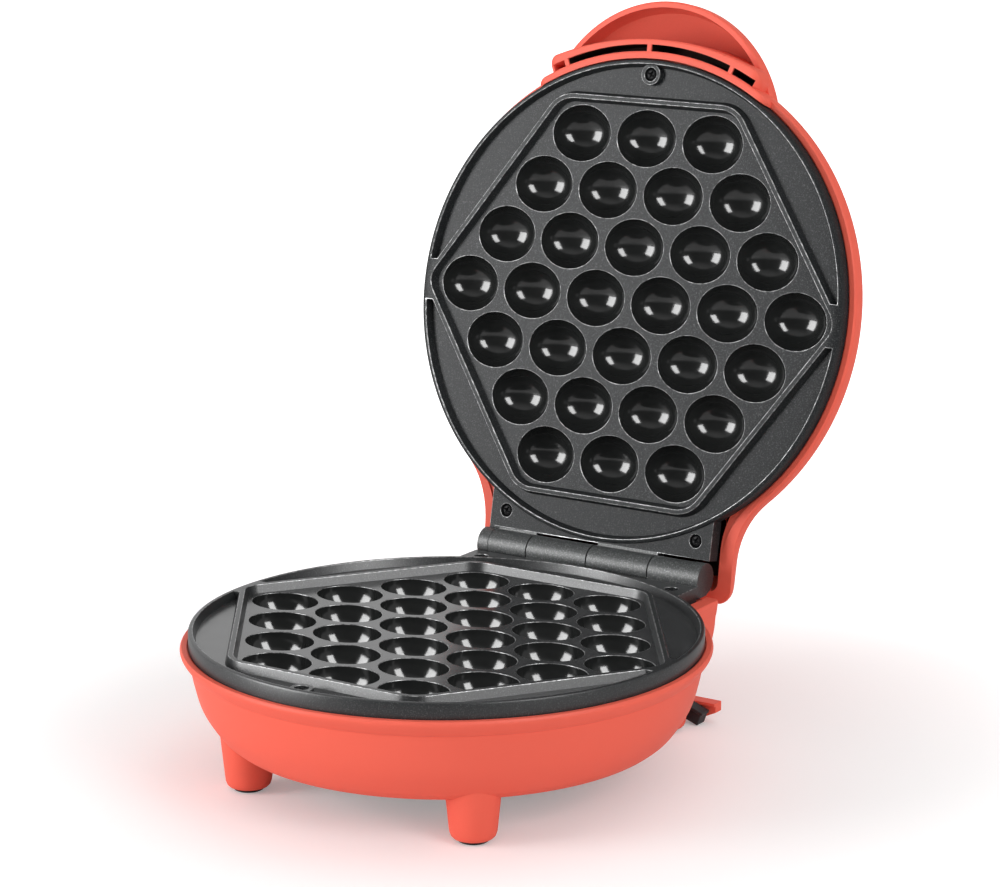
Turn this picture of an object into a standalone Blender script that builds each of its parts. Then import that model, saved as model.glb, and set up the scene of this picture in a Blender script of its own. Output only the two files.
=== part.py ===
# Bubble waffle maker: a round two-plate cooker, shown with its lid resting open.
# Every piece is first drawn in casting axes: x across, y towards the hinge, z away from the
# cooking face. The base takes that drawing turned over, the lid takes it swung open.
import math

import bmesh
import bpy
from mathutils import Matrix, Vector

# driving dimensions, in metres
HINGE_OFFSET = 0.0080
HINGE_Y = 0.0688
FACE_GAP = 0.0012
OPEN_ANGLE = math.radians(101.7)
SEAT_GAP = 0.0003
OVERRUN = 0.0020

# cooking plate
PLATE_DEPTH = 0.0074
PLATE_EDGE_ROUND = 0.0009
RIM_WIDTH = 0.0018
RIM_DRAFT = 0.0012
RECESS_DEPTH = 0.0034
RIDGE_WIDTH = 0.0020
RIDGE_DRAFT = 0.0012
HEX_TIP_MARGIN = 0.0082
HEX_FLAT_MARGIN = 0.0044
HEX_TIP_OVERHANG = 0.0006
HEX_SIDE_ROUND = 0.0100
HEX_FLAT_ROUND = 0.0140
TIP_HALF_GAP = 0.0088
CUP_PITCH = 0.03135
CUP_ROW_PITCH_SHARE = 0.7196
CUP_LAND = 0.00335
CUP_OVAL = 0.0023
CUP_DEPTH = 0.0122
CUP_WALL = 0.0016
CUP_ROWS = (3, 4, 5, 6, 5, 4, 3)
CUP_SIDES = 10
CUP_RINGS = 3
BACK_INSET = 0.0036

# hinge tab, knuckles and pin
TAB_HALF_WIDTH = 0.0535
TAB_DROP = 0.0010
TAB_END_SETBACK = 0.0073
KNUCKLE_RADIUS = 0.0064
KNUCKLE_REACH = 0.0294
KNUCKLE_GAP = 0.0003
EAR_RADIUS = 0.0066
EAR_WIDTH = 0.0050
PIN_RADIUS = 0.0020
PIN_OVERHANG = 0.0004

# plate screws and the bosses that take them
SCREW_END_INSET = 0.0075
SCREW_SETBACK = 0.0073
SCREW_FRONT_INSET = 0.0060
SCREW_HEAD_RADIUS = 0.0025
SCREW_HEAD_HEIGHT = 0.0015
SCREW_SHANK_RADIUS = 0.0014
SCREW_LENGTH = 0.0150
SCREW_SINK = 0.0005
FRONT_BOSS_RADIUS = 0.0044
FRONT_BOSS_DROP = 0.0009
BOSS_RADIUS = 0.0046
BOSS_SET = 0.0002

# shared housing measures
POCKET_GAP = 0.0006
RIM_WALL = 0.0027
RIM_HEIGHT = 0.0015
SHELF_INSET = 0.0045
SHELF_THICKNESS = 0.0022
WALL = 0.0026
NECK_GAP = 0.0017
POCKET_CORNER = 0.0010
DISC_SIDES = 40
THROAT_INSET = 0.0006

# base housing
BASE_CLEARANCE = 0.0069
BASE_NECK_SETBACK = 0.0018
BASE_NECK_WALL = 0.00615
BASE_NECK_FILLET = 0.0015
BASE_NECK_CORNER = 0.0020
BASE_POCKET_FILLET = 0.0012
BASE_FLOOR = 0.0032
COVER_RADIUS = 0.0620
COVER_LIP = 0.0095
COVER_SCREW_INSET = 0.0060
COVER_THICKNESS = 0.0017
LEG_FRONT_INSET = 0.0243
LEG_FRONT_ANGLE = math.radians(41.15)
LEG_REAR_INSET = 0.0085
LEG_REAR_SETBACK = 0.0175
LEG_TOP_RADIUS = 0.0112
LEG_LOW_RADIUS = 0.0089
LEG_END_RADIUS = 0.0068
LEG_END_HEIGHT = 0.0024
LEG_ROOT_SINK = 0.0081
FOOT_CLEARANCE = 0.0183
PAD_RADIUS = 0.0060
PAD_HEIGHT = 0.0026

# lid housing
LID_CLEARANCE = 0.0113
LID_NECK_OVERHANG = 0.0102
LID_NECK_WALL = 0.0066
LID_NECK_FILLET = 0.0200
LID_NECK_CORNER = 0.0060
LID_INNER_CORNER = 0.0040
NECK_RISE = 0.0047
LOWER_LIP_WALL = 0.0029
SLOT_WIDTH = 0.0029
UPPER_LIP_WALL = 0.0022
LIP_TOP = 0.0012
UPPER_LIP_DROP = 0.0004
LIP_SKIRT = 0.0105
LIP_BOTTOM = 0.0240
LIP_END_ROUND = 0.0060
LIP_ANGLE = math.radians(33.0)
UPPER_LIP_ANGLE = math.radians(28.5)
UPPER_LIP_FLARE = 0.0018
SLOT_DEPTH = 0.0180
SLOT_RIB = 0.0018
SLOT_TURN = math.radians(-1.4)
SLOT_ANGLE = math.radians(21.9)
GRIP_REACH = 0.0169
GRIP_RADIUS = 0.0560
GRIP_START = 0.0100
GRIP_EDGE_HEIGHT = 0.0030
GRIP_TOP = 0.0330
GRIP_LEAN = 0.0220
GRIP_WALL = 0.0026
GRIP_POCKET_DEPTH = 0.0100
GRIP_POCKET_LEAN = 0.0030
GRIP_SIDES = 34

# heating parts
ELEMENT_RADIUS = 0.0032
ELEMENT_INSET = 0.0400
ELEMENT_OPEN_ANGLE = math.radians(28.0)
ELEMENT_TAIL = 0.0140
ELEMENT_SIDES = 6
REFLECTOR_INSET = 0.0140
REFLECTOR_SHEET = 0.0008
REFLECTOR_WALL = 0.0066
THERMOSTAT_RADIUS = 0.0080
THERMOSTAT_HEIGHT = 0.0062
FUSE_RADIUS = 0.0022
FUSE_LENGTH = 0.0160
FUSE_OFFSET = 0.0220
BLOCK_WIDTH = 0.0260
BLOCK_LENGTH = 0.0090
BLOCK_HEIGHT = 0.0100
BLOCK_GAP = 0.0006

# cord bracket, gland and indicator lamps
ARM_HALF_WIDTH = 0.0280
ARM_COVER_GAP = 0.0100
ARM_HEIGHT = 0.0050
WING_HALF_WIDTH = 0.0600
WING_SETBACK = 0.0014
WING_THICKNESS = 0.0058
WING_DROP = 0.0072
WING_END_HEIGHT = 0.0042
WING_HEIGHT = 0.0084
WING_SLANT = 0.0090
GLAND_WIDTH = 0.0074
GLAND_LENGTH = 0.0052
GLAND_HEIGHT = 0.0068
GLAND_INSET = 0.0070
GLAND_CLEARANCE = 0.0008
GLAND_FLANGE = 0.0008
GLAND_FLANGE_THICKNESS = 0.0014
LENS_RADIUS = 0.0030
LENS_HEIGHT = 0.0046
LENS_TIP_ROUND = 0.0006
LENS_X = 0.0100
LENS_Y = 0.0420
LENS_SINK = 0.0004
LAMP_BOARD_WIDTH = 0.0320
LAMP_BOARD_LENGTH = 0.0120
LAMP_BOARD_THICKNESS = 0.0030

# outer base levels: depth below the ledge, circle, neck half width, neck reach
BASE_LEVELS_SHARE = (
    (0.000, 0.994, 0.995, 1.000), (0.034, 1.000, 1.000, 1.000), (0.085, 0.993, 0.997, 1.000),
    (0.181, 0.966, 0.990, 0.998), (0.390, 0.950, 0.980, 0.991), (0.644, 0.924, 0.952, 0.975),
    (0.884, 0.872, 0.898, 0.946), (1.000, 0.826, 0.850, 0.920),
)
# outer lid levels in the same order
LID_LEVELS_SHARE = (
    (0.000, 0.993, 0.992, 0.998), (0.039, 1.000, 1.000, 1.000), (0.131, 1.000, 0.998, 0.999),
    (0.227, 0.990, 0.978, 0.986), (0.377, 0.960, 0.924, 0.950), (0.540, 0.911, 0.846, 0.888),
    (0.705, 0.833, 0.746, 0.804), (0.841, 0.716, 0.632, 0.677), (0.937, 0.542, 0.484, 0.508),
    (1.000, 0.230, 0.200, 0.212),
)
# grip levels: depth, lean towards the hinge, radius
GRIP_LEVELS_SHARE = (
    (0.000, 0.00, 0.986), (0.043, 0.00, 1.000), (0.217, 0.00, 1.000), (0.348, 0.05, 0.975),
    (0.520, 0.20, 0.900), (0.740, 0.52, 0.760), (1.000, 1.00, 0.580),
)

# derived positions
HALF_GAP = FACE_GAP / 2
AXIS_DEPTH = -HALF_GAP
CUP_ROW_PITCH = CUP_PITCH * CUP_ROW_PITCH_SHARE
CUP_HALF_LENGTH = (CUP_PITCH - CUP_LAND) / 2
CUP_HALF_WIDTH = CUP_HALF_LENGTH - CUP_OVAL
HEX_SLOPE = math.atan2(CUP_ROW_PITCH, CUP_PITCH / 2)
HEX_HALF_LENGTH = CUP_PITCH * (max(CUP_ROWS) - 1) / 2 + CUP_HALF_LENGTH + HEX_TIP_MARGIN
HEX_HALF_HEIGHT = CUP_ROW_PITCH * (len(CUP_ROWS) - 1) / 2 + CUP_HALF_WIDTH + HEX_FLAT_MARGIN
PLATE_RADIUS = HEX_HALF_LENGTH - HEX_TIP_OVERHANG
HINGE_REACH = PLATE_RADIUS + HINGE_OFFSET
SEAT_DEPTH = PLATE_DEPTH + SEAT_GAP
LEDGE_DEPTH = SEAT_DEPTH - RIM_HEIGHT
CUP_BOTTOM = RECESS_DEPTH + CUP_DEPTH
BUMP_BOTTOM = CUP_BOTTOM + CUP_WALL
ELEMENT_DEPTH = BUMP_BOTTOM + SEAT_GAP + ELEMENT_RADIUS
REFLECTOR_DEPTH = ELEMENT_DEPTH + ELEMENT_RADIUS + SEAT_GAP
THERMOSTAT_DEPTH = REFLECTOR_DEPTH + REFLECTOR_SHEET + SEAT_GAP
REFLECTOR_RADIUS = PLATE_RADIUS - REFLECTOR_INSET
ELEMENT_LOOP_RADIUS = PLATE_RADIUS - ELEMENT_INSET
BLOCK_OFFSET = REFLECTOR_RADIUS + BLOCK_GAP + BLOCK_LENGTH / 2
HEATING_END = THERMOSTAT_DEPTH + THERMOSTAT_HEIGHT
BASE_DEPTH = HEATING_END + BASE_CLEARANCE + BASE_FLOOR
LID_DEPTH = HEATING_END + LID_CLEARANCE
FLOOR_DEPTH = BASE_DEPTH + FOOT_CLEARANCE
HINGE_HEIGHT = FLOOR_DEPTH + HALF_GAP
LEG_END_DEPTH = FLOOR_DEPTH - PAD_HEIGHT
LEG_ROOT_DEPTH = BASE_DEPTH - LEG_ROOT_SINK
BASE_INNER_DEPTH = BASE_DEPTH - BASE_FLOOR
INNER_RADIUS = PLATE_RADIUS + POCKET_GAP
HOUSING_RADIUS = INNER_RADIUS + RIM_WALL
SHELF_RADIUS = PLATE_RADIUS - SHELF_INSET
NECK_INNER_HALF = TAB_HALF_WIDTH + NECK_GAP
BASE_NECK_REACH = HINGE_REACH - BASE_NECK_SETBACK
BASE_NECK_HALF = NECK_INNER_HALF + BASE_NECK_WALL
LID_NECK_REACH = HINGE_REACH + LID_NECK_OVERHANG
LID_NECK_HALF = NECK_INNER_HALF + LID_NECK_WALL
TAB_END = HINGE_REACH - TAB_END_SETBACK
SCREW_SIDE_X = TAB_HALF_WIDTH - SCREW_END_INSET
SCREW_SIDE_Y = TAB_END - SCREW_SETBACK
SCREW_FRONT_Y = PLATE_RADIUS - SCREW_FRONT_INSET
COVER_SCREW_REACH = COVER_RADIUS - COVER_SCREW_INSET
LIP_SLOT_INNER = INNER_RADIUS + LOWER_LIP_WALL
LIP_SLOT_OUTER = LIP_SLOT_INNER + SLOT_WIDTH
LIP_OUTER_RADIUS = LIP_SLOT_OUTER + UPPER_LIP_WALL
LIP_FOOT_RADIUS = HOUSING_RADIUS * 0.885
GRIP_CENTRE = LIP_OUTER_RADIUS + GRIP_REACH - GRIP_RADIUS
LEG_FRONT_X = (HOUSING_RADIUS - LEG_FRONT_INSET) * math.sin(LEG_FRONT_ANGLE)
LEG_FRONT_Y = (HOUSING_RADIUS - LEG_FRONT_INSET) * math.cos(LEG_FRONT_ANGLE)
LEG_REAR_X = TAB_HALF_WIDTH - LEG_REAR_INSET
LEG_REAR_Y = HINGE_REACH - LEG_REAR_SETBACK
ARM_START = COVER_RADIUS + ARM_COVER_GAP
WING_FRONT = HINGE_REACH - WING_SETBACK
WING_BACK = WING_FRONT + WING_THICKNESS
WING_TOP = BASE_DEPTH + WING_DROP
LENS_TOP = LID_DEPTH - LENS_SINK

HINGE_POINT = Vector((0.0, HINGE_Y, HINGE_HEIGHT))
TURN_OVER = Matrix.Rotation(math.pi, 4, "Y")
TO_HINGE_LID = Matrix.Translation((0.0, -HINGE_REACH, HALF_GAP))
TO_HINGE_BASE = Matrix.Translation((0.0, -HINGE_REACH, -HALF_GAP)) @ TURN_OVER
SWING_OPEN = Matrix.Rotation(-OPEN_ANGLE, 4, "X")

for old in list(bpy.data.objects):
    bpy.data.objects.remove(old, do_unlink=True)


# materials
def material(name, colour, roughness, metallic=0.0):
    made = bpy.data.materials.new(name)
    made.use_nodes = True
    shader = made.node_tree.nodes["Principled BSDF"]
    shader.inputs["Base Color"].default_value = (*colour, 1.0)
    shader.inputs["Roughness"].default_value = roughness
    shader.inputs["Metallic"].default_value = metallic
    return made


SHELL = material("shell_coral", (0.80, 0.115, 0.075), 0.42)
COATING = material("plate_coating", (0.055, 0.058, 0.062), 0.38, 0.25)
RUBBER = material("pad_rubber", (0.018, 0.018, 0.018), 0.85)
STEEL = material("pin_steel", (0.55, 0.55, 0.56), 0.30, 1.0)
BLACK_SCREW = material("screw_black", (0.03, 0.03, 0.032), 0.45, 0.6)
ELEMENT_METAL = material("element_sheath", (0.22, 0.21, 0.20), 0.50, 0.9)
SHEET = material("reflector_sheet", (0.62, 0.63, 0.64), 0.28, 1.0)
COVER = material("cover_black", (0.03, 0.03, 0.032), 0.60)
CERAMIC = material("block_ceramic", (0.78, 0.76, 0.70), 0.55)
GLAND = material("gland_black", (0.02, 0.02, 0.022), 0.55)
LENS_RED = material("lens_red", (0.75, 0.05, 0.03), 0.15)
LENS_GREEN = material("lens_green", (0.08, 0.55, 0.12), 0.15)


# building helpers
def new_object(name, points, faces):
    mesh = bpy.data.meshes.new(name)
    mesh.from_pydata([tuple(p) for p in points], [], faces)
    made = bpy.data.objects.new(name, mesh)
    bpy.context.collection.objects.link(made)
    shape = bmesh.new()
    shape.from_mesh(mesh)
    bmesh.ops.recalc_face_normals(shape, faces=shape.faces)
    shape.to_mesh(mesh)
    shape.free()
    return made


def loft(name, rings):
    """Closed body through rings that have the same number of points."""
    count = len(rings[0])
    points = [p for ring in rings for p in ring]
    faces = [tuple(reversed(range(count)))]
    for level in range(len(rings) - 1):
        low, high = level * count, (level + 1) * count
        for i in range(count):
            j = (i + 1) % count
            faces.append((low + i, low + j, high + j, high + i))
    top = (len(rings) - 1) * count
    faces.append(tuple(range(top, top + count)))
    return new_object(name, points, faces)


def circle(radius, depth, sides=DISC_SIDES, centre=(0.0, 0.0)):
    return [(centre[0] + radius * math.cos(math.tau * i / sides),
             centre[1] + radius * math.sin(math.tau * i / sides), depth) for i in range(sides)]


def turned(name, profile, sides=DISC_SIDES, centre=(0.0, 0.0)):
    """Closed round body through (radius, depth) pairs."""
    return loft(name, [circle(radius, depth, sides, centre) for radius, depth in profile])


def box(name, low, high):
    corners = [(low[0], low[1]), (high[0], low[1]), (high[0], high[1]), (low[0], high[1])]
    return loft(name, [[(x, y, z) for x, y in corners] for z in (low[2], high[2])])


def across(name, outline, start, end):
    """Closed body with a (y, z) outline, drawn out along x."""
    return loft(name, [[(x, y, z) for y, z in outline] for x in (start, end)])


def combine(target, tool, operation):
    change = target.modifiers.new("shape", "BOOLEAN")
    change.operation = operation
    change.solver = "EXACT"
    change.object = tool
    bpy.context.view_layer.update()
    graph = bpy.context.evaluated_depsgraph_get()
    result = bpy.data.meshes.new_from_object(target.evaluated_get(graph))
    target.modifiers.clear()
    target.data = result
    bpy.data.objects.remove(tool, do_unlink=True)
    return target


def join(target, tool):
    return combine(target, tool, "UNION")


def cut(target, tool):
    return combine(target, tool, "DIFFERENCE")


def finish(made, name, place, surface, smooth_angle=35.0):
    """Names a piece, sets it in place with its origin on the hinge axis and shades it."""
    made.name = name
    made.data.name = name
    made.data.transform(place)
    made.location = HINGE_POINT
    shape = bmesh.new()
    shape.from_mesh(made.data)
    bmesh.ops.recalc_face_normals(shape, faces=shape.faces)
    bmesh.ops.triangulate(shape, faces=[f for f in shape.faces if len(f.verts) > 4])
    limit = math.radians(smooth_angle)
    for face in shape.faces:
        face.smooth = True
    for edge in shape.edges:
        edge.smooth = len(edge.link_faces) == 2 and edge.calc_face_angle(0.0) < limit
    shape.to_mesh(made.data)
    shape.free()
    made.data.materials.clear()
    made.data.materials.append(surface)
    return made


LID_PLACE = SWING_OPEN @ TO_HINGE_LID
BASE_PLACE = TO_HINGE_BASE
SIDES = (("lower", BASE_PLACE, ("right", "left", "front")),
         ("upper", LID_PLACE, ("left", "right", "front")))


# outlines
def arc(centre, radius, start, end, steps):
    return [(centre[0] + radius * math.cos(start + (end - start) * i / steps),
             centre[1] + radius * math.sin(start + (end - start) * i / steps))
            for i in range(steps + 1)]


def rounded(corners, radii, steps=5):
    """Outline through corners, each rounded by its own radius."""
    made = []
    count = len(corners)
    for i, corner in enumerate(corners):
        here = Vector(corner)
        back = (Vector(corners[i - 1]) - here).normalized()
        on = (Vector(corners[(i + 1) % count]) - here).normalized()
        half = back.angle(on) / 2
        reach = radii[i] / math.tan(half)
        centre = here + (back + on).normalized() * (radii[i] / math.sin(half))
        first, last = here + back * reach - centre, here + on * reach - centre
        turn = first.angle_signed(last)
        for step in range(steps + 1):
            spin = Matrix.Rotation(-turn * step / steps, 2)
            made.append(tuple(centre + spin @ first))
    return made


def neck_outline(radius, half_width, reach, fillet, corner, arc_steps=28):
    """A circle run into a straight neck at the hinge side, from the right side round the front."""
    height = math.sqrt((radius + fillet) ** 2 - (half_width + fillet) ** 2)
    lean = math.atan2(height, half_width + fillet)
    right_fillet = arc((half_width + fillet, height), fillet, math.pi, math.pi + lean, 4)
    corner = min(corner, (reach - height) / 2)
    right_corner = arc((half_width - corner, reach - corner), corner, math.pi / 2, 0.0, 3)
    front = arc((0.0, 0.0), radius, lean, -math.pi - lean, arc_steps)
    right = right_corner + right_fillet
    left = [(-x, y) for x, y in reversed(right)]
    return right + front[1:-1] + left


def neck_rings(levels, fillet, corner):
    return [[(x, y, depth) for x, y in neck_outline(radius, half, reach, fillet, corner)]
            for depth, radius, half, reach in levels]


def hexagon(inset, depth, steps=3):
    """The long six-sided outline round the cups, moved in by an inset."""
    length = HEX_HALF_LENGTH - inset / math.sin(HEX_SLOPE)
    height = HEX_HALF_HEIGHT - inset
    flat = length - height / math.tan(HEX_SLOPE)
    corners = [(length, 0.0), (flat, height), (-flat, height),
               (-length, 0.0), (-flat, -height), (flat, -height)]
    side = max(HEX_SIDE_ROUND - inset, HEX_SIDE_ROUND * 0.15)
    top = max(HEX_FLAT_ROUND - inset, HEX_FLAT_ROUND * 0.15)
    outline = rounded(corners, [side, top, top, side, top, top], steps)
    return [(x, y, depth) for x, y in outline]


# cooking plates
def cup_centres():
    rows = len(CUP_ROWS)
    for row, count in enumerate(CUP_ROWS):
        for i in range(count):
            yield ((i - (count - 1) / 2) * CUP_PITCH, (row - (rows - 1) / 2) * CUP_ROW_PITCH)


def cups():
    """All the cups as half egg shapes in one mesh."""
    points, faces = [], []
    for cx, cy in cup_centres():
        offset = len(points)
        shells = [(1.0, RECESS_DEPTH - OVERRUN)]
        for k in range(CUP_RINGS):
            lean = math.pi / 2 * k / CUP_RINGS
            shells.append((math.cos(lean), RECESS_DEPTH + CUP_DEPTH * math.sin(lean)))
        for share, depth in shells:
            for i in range(CUP_SIDES):
                turn = math.tau * (i + 0.5) / CUP_SIDES
                points.append((cx + CUP_HALF_LENGTH * share * math.cos(turn),
                               cy + CUP_HALF_WIDTH * share * math.sin(turn), depth))
        points.append((cx, cy, CUP_BOTTOM))
        faces.append(tuple(offset + i for i in reversed(range(CUP_SIDES))))
        for level in range(CUP_RINGS):
            low = offset + level * CUP_SIDES
            for i in range(CUP_SIDES):
                j = (i + 1) % CUP_SIDES
                faces.append((low + i, low + j, low + CUP_SIDES + j, low + CUP_SIDES + i))
        last = offset + CUP_RINGS * CUP_SIDES
        tip = last + CUP_SIDES
        for i in range(CUP_SIDES):
            faces.append((last + i, last + (i + 1) % CUP_SIDES, tip))
    return new_object("cups", points, faces)


def recess(side):
    """One of the two arch recesses between the rim and the six-sided ridge."""
    radius = PLATE_RADIUS - RIM_WIDTH
    tip = math.asin(TIP_HALF_GAP / radius)
    ridge = [(x, y) for x, y, _ in hexagon(0.0, 0.0) if y > TIP_HALF_GAP]
    ridge.sort(key=lambda p: p[0])
    rim = arc((0.0, 0.0), radius, tip, math.pi - tip, 18)
    outline = rim + ridge
    rings = []
    for inset, depth in ((0.0, -OVERRUN), (0.0, 0.0), (RIM_DRAFT, RECESS_DEPTH)):
        ring = []
        count = len(outline)
        for i, point in enumerate(outline):
            back, on = Vector(outline[i - 1]), Vector(outline[(i + 1) % count])
            along = (on - back).normalized()
            normal = Vector((-along.y, along.x))
            moved = Vector(point) + normal * inset
            ring.append((moved.x, moved.y * side, depth))
        rings.append(ring)
    return loft("recess", rings)


def knuckle(start, end, radius):
    """One hinge barrel with the root that joins it to the tab."""
    barrel = [(HINGE_REACH + radius * math.cos(t), AXIS_DEPTH + radius * math.sin(t))
              for t in [math.tau * i / 12 for i in range(12)]]
    body = across("knuckle", barrel, start, end)
    root_start = HINGE_REACH - TAB_END_SETBACK - OVERRUN
    root_end = HINGE_REACH + radius * 0.2
    root = [(root_start, TAB_DROP), (root_end, TAB_DROP), (root_end, PLATE_DEPTH - TAB_DROP),
            (HINGE_REACH - radius * 0.5, PLATE_DEPTH), (root_start, PLATE_DEPTH)]
    return join(body, across("root", root, start, end))


def plate():
    edge = PLATE_EDGE_ROUND
    body = turned("plate", [
        (PLATE_RADIUS - edge, PLATE_DEPTH), (PLATE_RADIUS, PLATE_DEPTH - edge),
        (PLATE_RADIUS, edge), (PLATE_RADIUS - edge, 0.0)], sides=48)
    tab = [(-TAB_HALF_WIDTH, PLATE_RADIUS * 0.6), (TAB_HALF_WIDTH, PLATE_RADIUS * 0.6),
           (TAB_HALF_WIDTH, TAB_END), (-TAB_HALF_WIDTH, TAB_END)]
    join(body, loft("tab", [[(x, y, z) for x, y in tab] for z in (TAB_DROP, PLATE_DEPTH)]))
    join(body, knuckle(KNUCKLE_GAP, KNUCKLE_REACH - KNUCKLE_GAP, KNUCKLE_RADIUS))
    join(body, knuckle(-TAB_HALF_WIDTH + EAR_WIDTH * 0.5, -KNUCKLE_REACH - KNUCKLE_GAP,
                       KNUCKLE_RADIUS))
    join(body, knuckle(-TAB_HALF_WIDTH, -TAB_HALF_WIDTH + EAR_WIDTH, EAR_RADIUS))
    for side in (1, -1):
        cut(body, recess(side))
    floor = loft("floor", [hexagon(RIDGE_WIDTH, -OVERRUN), hexagon(RIDGE_WIDTH, 0.0),
                           hexagon(RIDGE_WIDTH + RIDGE_DRAFT, RECESS_DEPTH)])
    cut(body, floor)
    back = loft("back", [hexagon(BACK_INSET, PLATE_DEPTH - OVERRUN),
                         hexagon(BACK_INSET, (PLATE_DEPTH + BUMP_BOTTOM) / 2),
                         hexagon(BACK_INSET * 2.2, BUMP_BOTTOM)])
    join(body, back)
    cut(body, cups())
    boss = turned("boss", [(FRONT_BOSS_RADIUS, FRONT_BOSS_DROP),
                           (FRONT_BOSS_RADIUS, PLATE_DEPTH - OVERRUN)], 14, (0.0, -SCREW_FRONT_Y))
    join(body, boss)
    for x, y, drop in screw_places():
        head, shank = SCREW_HEAD_RADIUS + SEAT_GAP, SCREW_SHANK_RADIUS + SEAT_GAP
        seat = drop + SCREW_SINK + SCREW_HEAD_HEIGHT + SEAT_GAP
        hole = turned("hole", [(head, drop - OVERRUN), (head, seat), (shank, seat),
                               (shank, PLATE_DEPTH + OVERRUN)], 10, (x, y))
        cut(body, hole)
    bore = [(HINGE_REACH + (PIN_RADIUS + SEAT_GAP) * math.cos(t),
             AXIS_DEPTH + (PIN_RADIUS + SEAT_GAP) * math.sin(t))
            for t in [math.tau * i / 10 for i in range(10)]]
    reach = TAB_HALF_WIDTH + OVERRUN
    return cut(body, across("bore", bore, -reach, reach))


def screw_places():
    """Head positions of the three plate screws: two on the tab, one in the front boss."""
    return ((-SCREW_SIDE_X, SCREW_SIDE_Y, TAB_DROP), (SCREW_SIDE_X, SCREW_SIDE_Y, TAB_DROP),
            (0.0, -SCREW_FRONT_Y, FRONT_BOSS_DROP))


def plate_screw(x, y, drop):
    head_top = drop + SCREW_SINK
    neck = head_top + SCREW_HEAD_HEIGHT
    return turned("screw", [
        (SCREW_HEAD_RADIUS * 0.8, head_top),
        (SCREW_HEAD_RADIUS, neck), (SCREW_SHANK_RADIUS, neck),
        (SCREW_SHANK_RADIUS, neck + SCREW_LENGTH)], 10, (x, y))


for side_name, place, labels in SIDES:
    finish(plate(), side_name + "_plate", place, COATING, 50.0)
    for label, spot in zip(labels, screw_places()):
        finish(plate_screw(*spot), side_name + "_plate_screw_" + label, place, BLACK_SCREW)


# heating parts
def element():
    """The round heating tube: an open loop with both ends run towards the hinge."""
    half = ELEMENT_OPEN_ANGLE / 2
    path = arc((0.0, 0.0), ELEMENT_LOOP_RADIUS, math.pi / 2 + half,
               math.pi / 2 + math.tau - half, 16)
    end_y = path[0][1] + ELEMENT_TAIL
    path = [(path[0][0], end_y)] + path + [(path[-1][0], end_y)]
    rings = []
    for i, (x, y) in enumerate(path):
        before, after = path[max(i - 1, 0)], path[min(i + 1, len(path) - 1)]
        along = Vector((after[0] - before[0], after[1] - before[1])).normalized()
        side = Vector((along.y, -along.x))
        ring = []
        for k in range(ELEMENT_SIDES):
            turn = math.tau * k / ELEMENT_SIDES
            shift = side * ELEMENT_RADIUS * math.cos(turn)
            ring.append((x + shift.x, y + shift.y,
                         ELEMENT_DEPTH + ELEMENT_RADIUS * math.sin(turn)))
        rings.append(ring)
    return loft("element", rings)


def reflector():
    """Pressed sheet pan under the heating tube."""
    sheet, lip = REFLECTOR_SHEET, REFLECTOR_DEPTH - REFLECTOR_WALL
    outer, low = REFLECTOR_RADIUS, REFLECTOR_DEPTH + REFLECTOR_SHEET
    return turned("reflector", [
        (outer * 0.1, REFLECTOR_DEPTH), (outer - sheet * 3, REFLECTOR_DEPTH), (outer - sheet, lip),
        (outer, lip), (outer - sheet * 2, low), (outer * 0.1, low)], 22)


def thermostat():
    flange = THERMOSTAT_HEIGHT * 0.3
    return turned("thermostat", [
        (THERMOSTAT_RADIUS, THERMOSTAT_DEPTH), (THERMOSTAT_RADIUS, THERMOSTAT_DEPTH + flange),
        (THERMOSTAT_RADIUS * 0.8, THERMOSTAT_DEPTH + flange),
        (THERMOSTAT_RADIUS * 0.8, THERMOSTAT_DEPTH + THERMOSTAT_HEIGHT)], 12)


for side_name, place, _ in SIDES:
    finish(element(), side_name + "_heating_tube", place, ELEMENT_METAL)
    finish(reflector(), side_name + "_reflector", place, SHEET)
    finish(thermostat(), side_name + "_thermostat", place, SHEET)


# base housing
def shrunk(levels, inset):
    """Housing levels moved in by an inset, for what is joined inside the wall."""
    made = [(depth, radius - inset, half - inset, reach - inset)
            for depth, radius, half, reach in levels]
    return made[:-1] + [(made[-1][0] - inset,) + made[-1][1:]]


def base_levels():
    span = BASE_DEPTH - LEDGE_DEPTH
    return [(LEDGE_DEPTH + depth * span, radius * HOUSING_RADIUS, half * BASE_NECK_HALF,
             reach * BASE_NECK_REACH) for depth, radius, half, reach in BASE_LEVELS_SHARE]


def base_skin():
    return loft("base", neck_rings(base_levels(), BASE_NECK_FILLET, BASE_NECK_CORNER))


def leg_profile():
    return [(LEG_END_RADIUS, LEG_END_DEPTH), (LEG_LOW_RADIUS, LEG_END_DEPTH - LEG_END_HEIGHT),
            (LEG_TOP_RADIUS, LEG_ROOT_DEPTH)]


LEG_PLACES = (("front_left", LEG_FRONT_X, -LEG_FRONT_Y), ("front_right", -LEG_FRONT_X, -LEG_FRONT_Y),
              ("rear_left", LEG_REAR_X, LEG_REAR_Y), ("rear_right", -LEG_REAR_X, LEG_REAR_Y))


def bosses(body, inner_depth, levels, fillet, corner):
    """Screw pillars from the inside of a shell up to the plate, each with its hole."""
    for x, y, _ in screw_places():
        pillar = turned("pillar", [(BOSS_RADIUS, SEAT_DEPTH + BOSS_SET),
                                   (BOSS_RADIUS, inner_depth)], 12, (x, y))
        core = loft("core", neck_rings(shrunk(levels, WALL / 2), fillet, corner))
        join(body, combine(pillar, core, "INTERSECT"))
    for x, y, drop in screw_places():
        end = drop + SCREW_SINK + SCREW_HEAD_HEIGHT + SCREW_LENGTH + SEAT_GAP
        cut(body, turned("pilot", [(SCREW_SHANK_RADIUS + SEAT_GAP, SEAT_DEPTH - OVERRUN),
                                   (SCREW_SHANK_RADIUS + SEAT_GAP, end)], 14, (x, y)))


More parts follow.
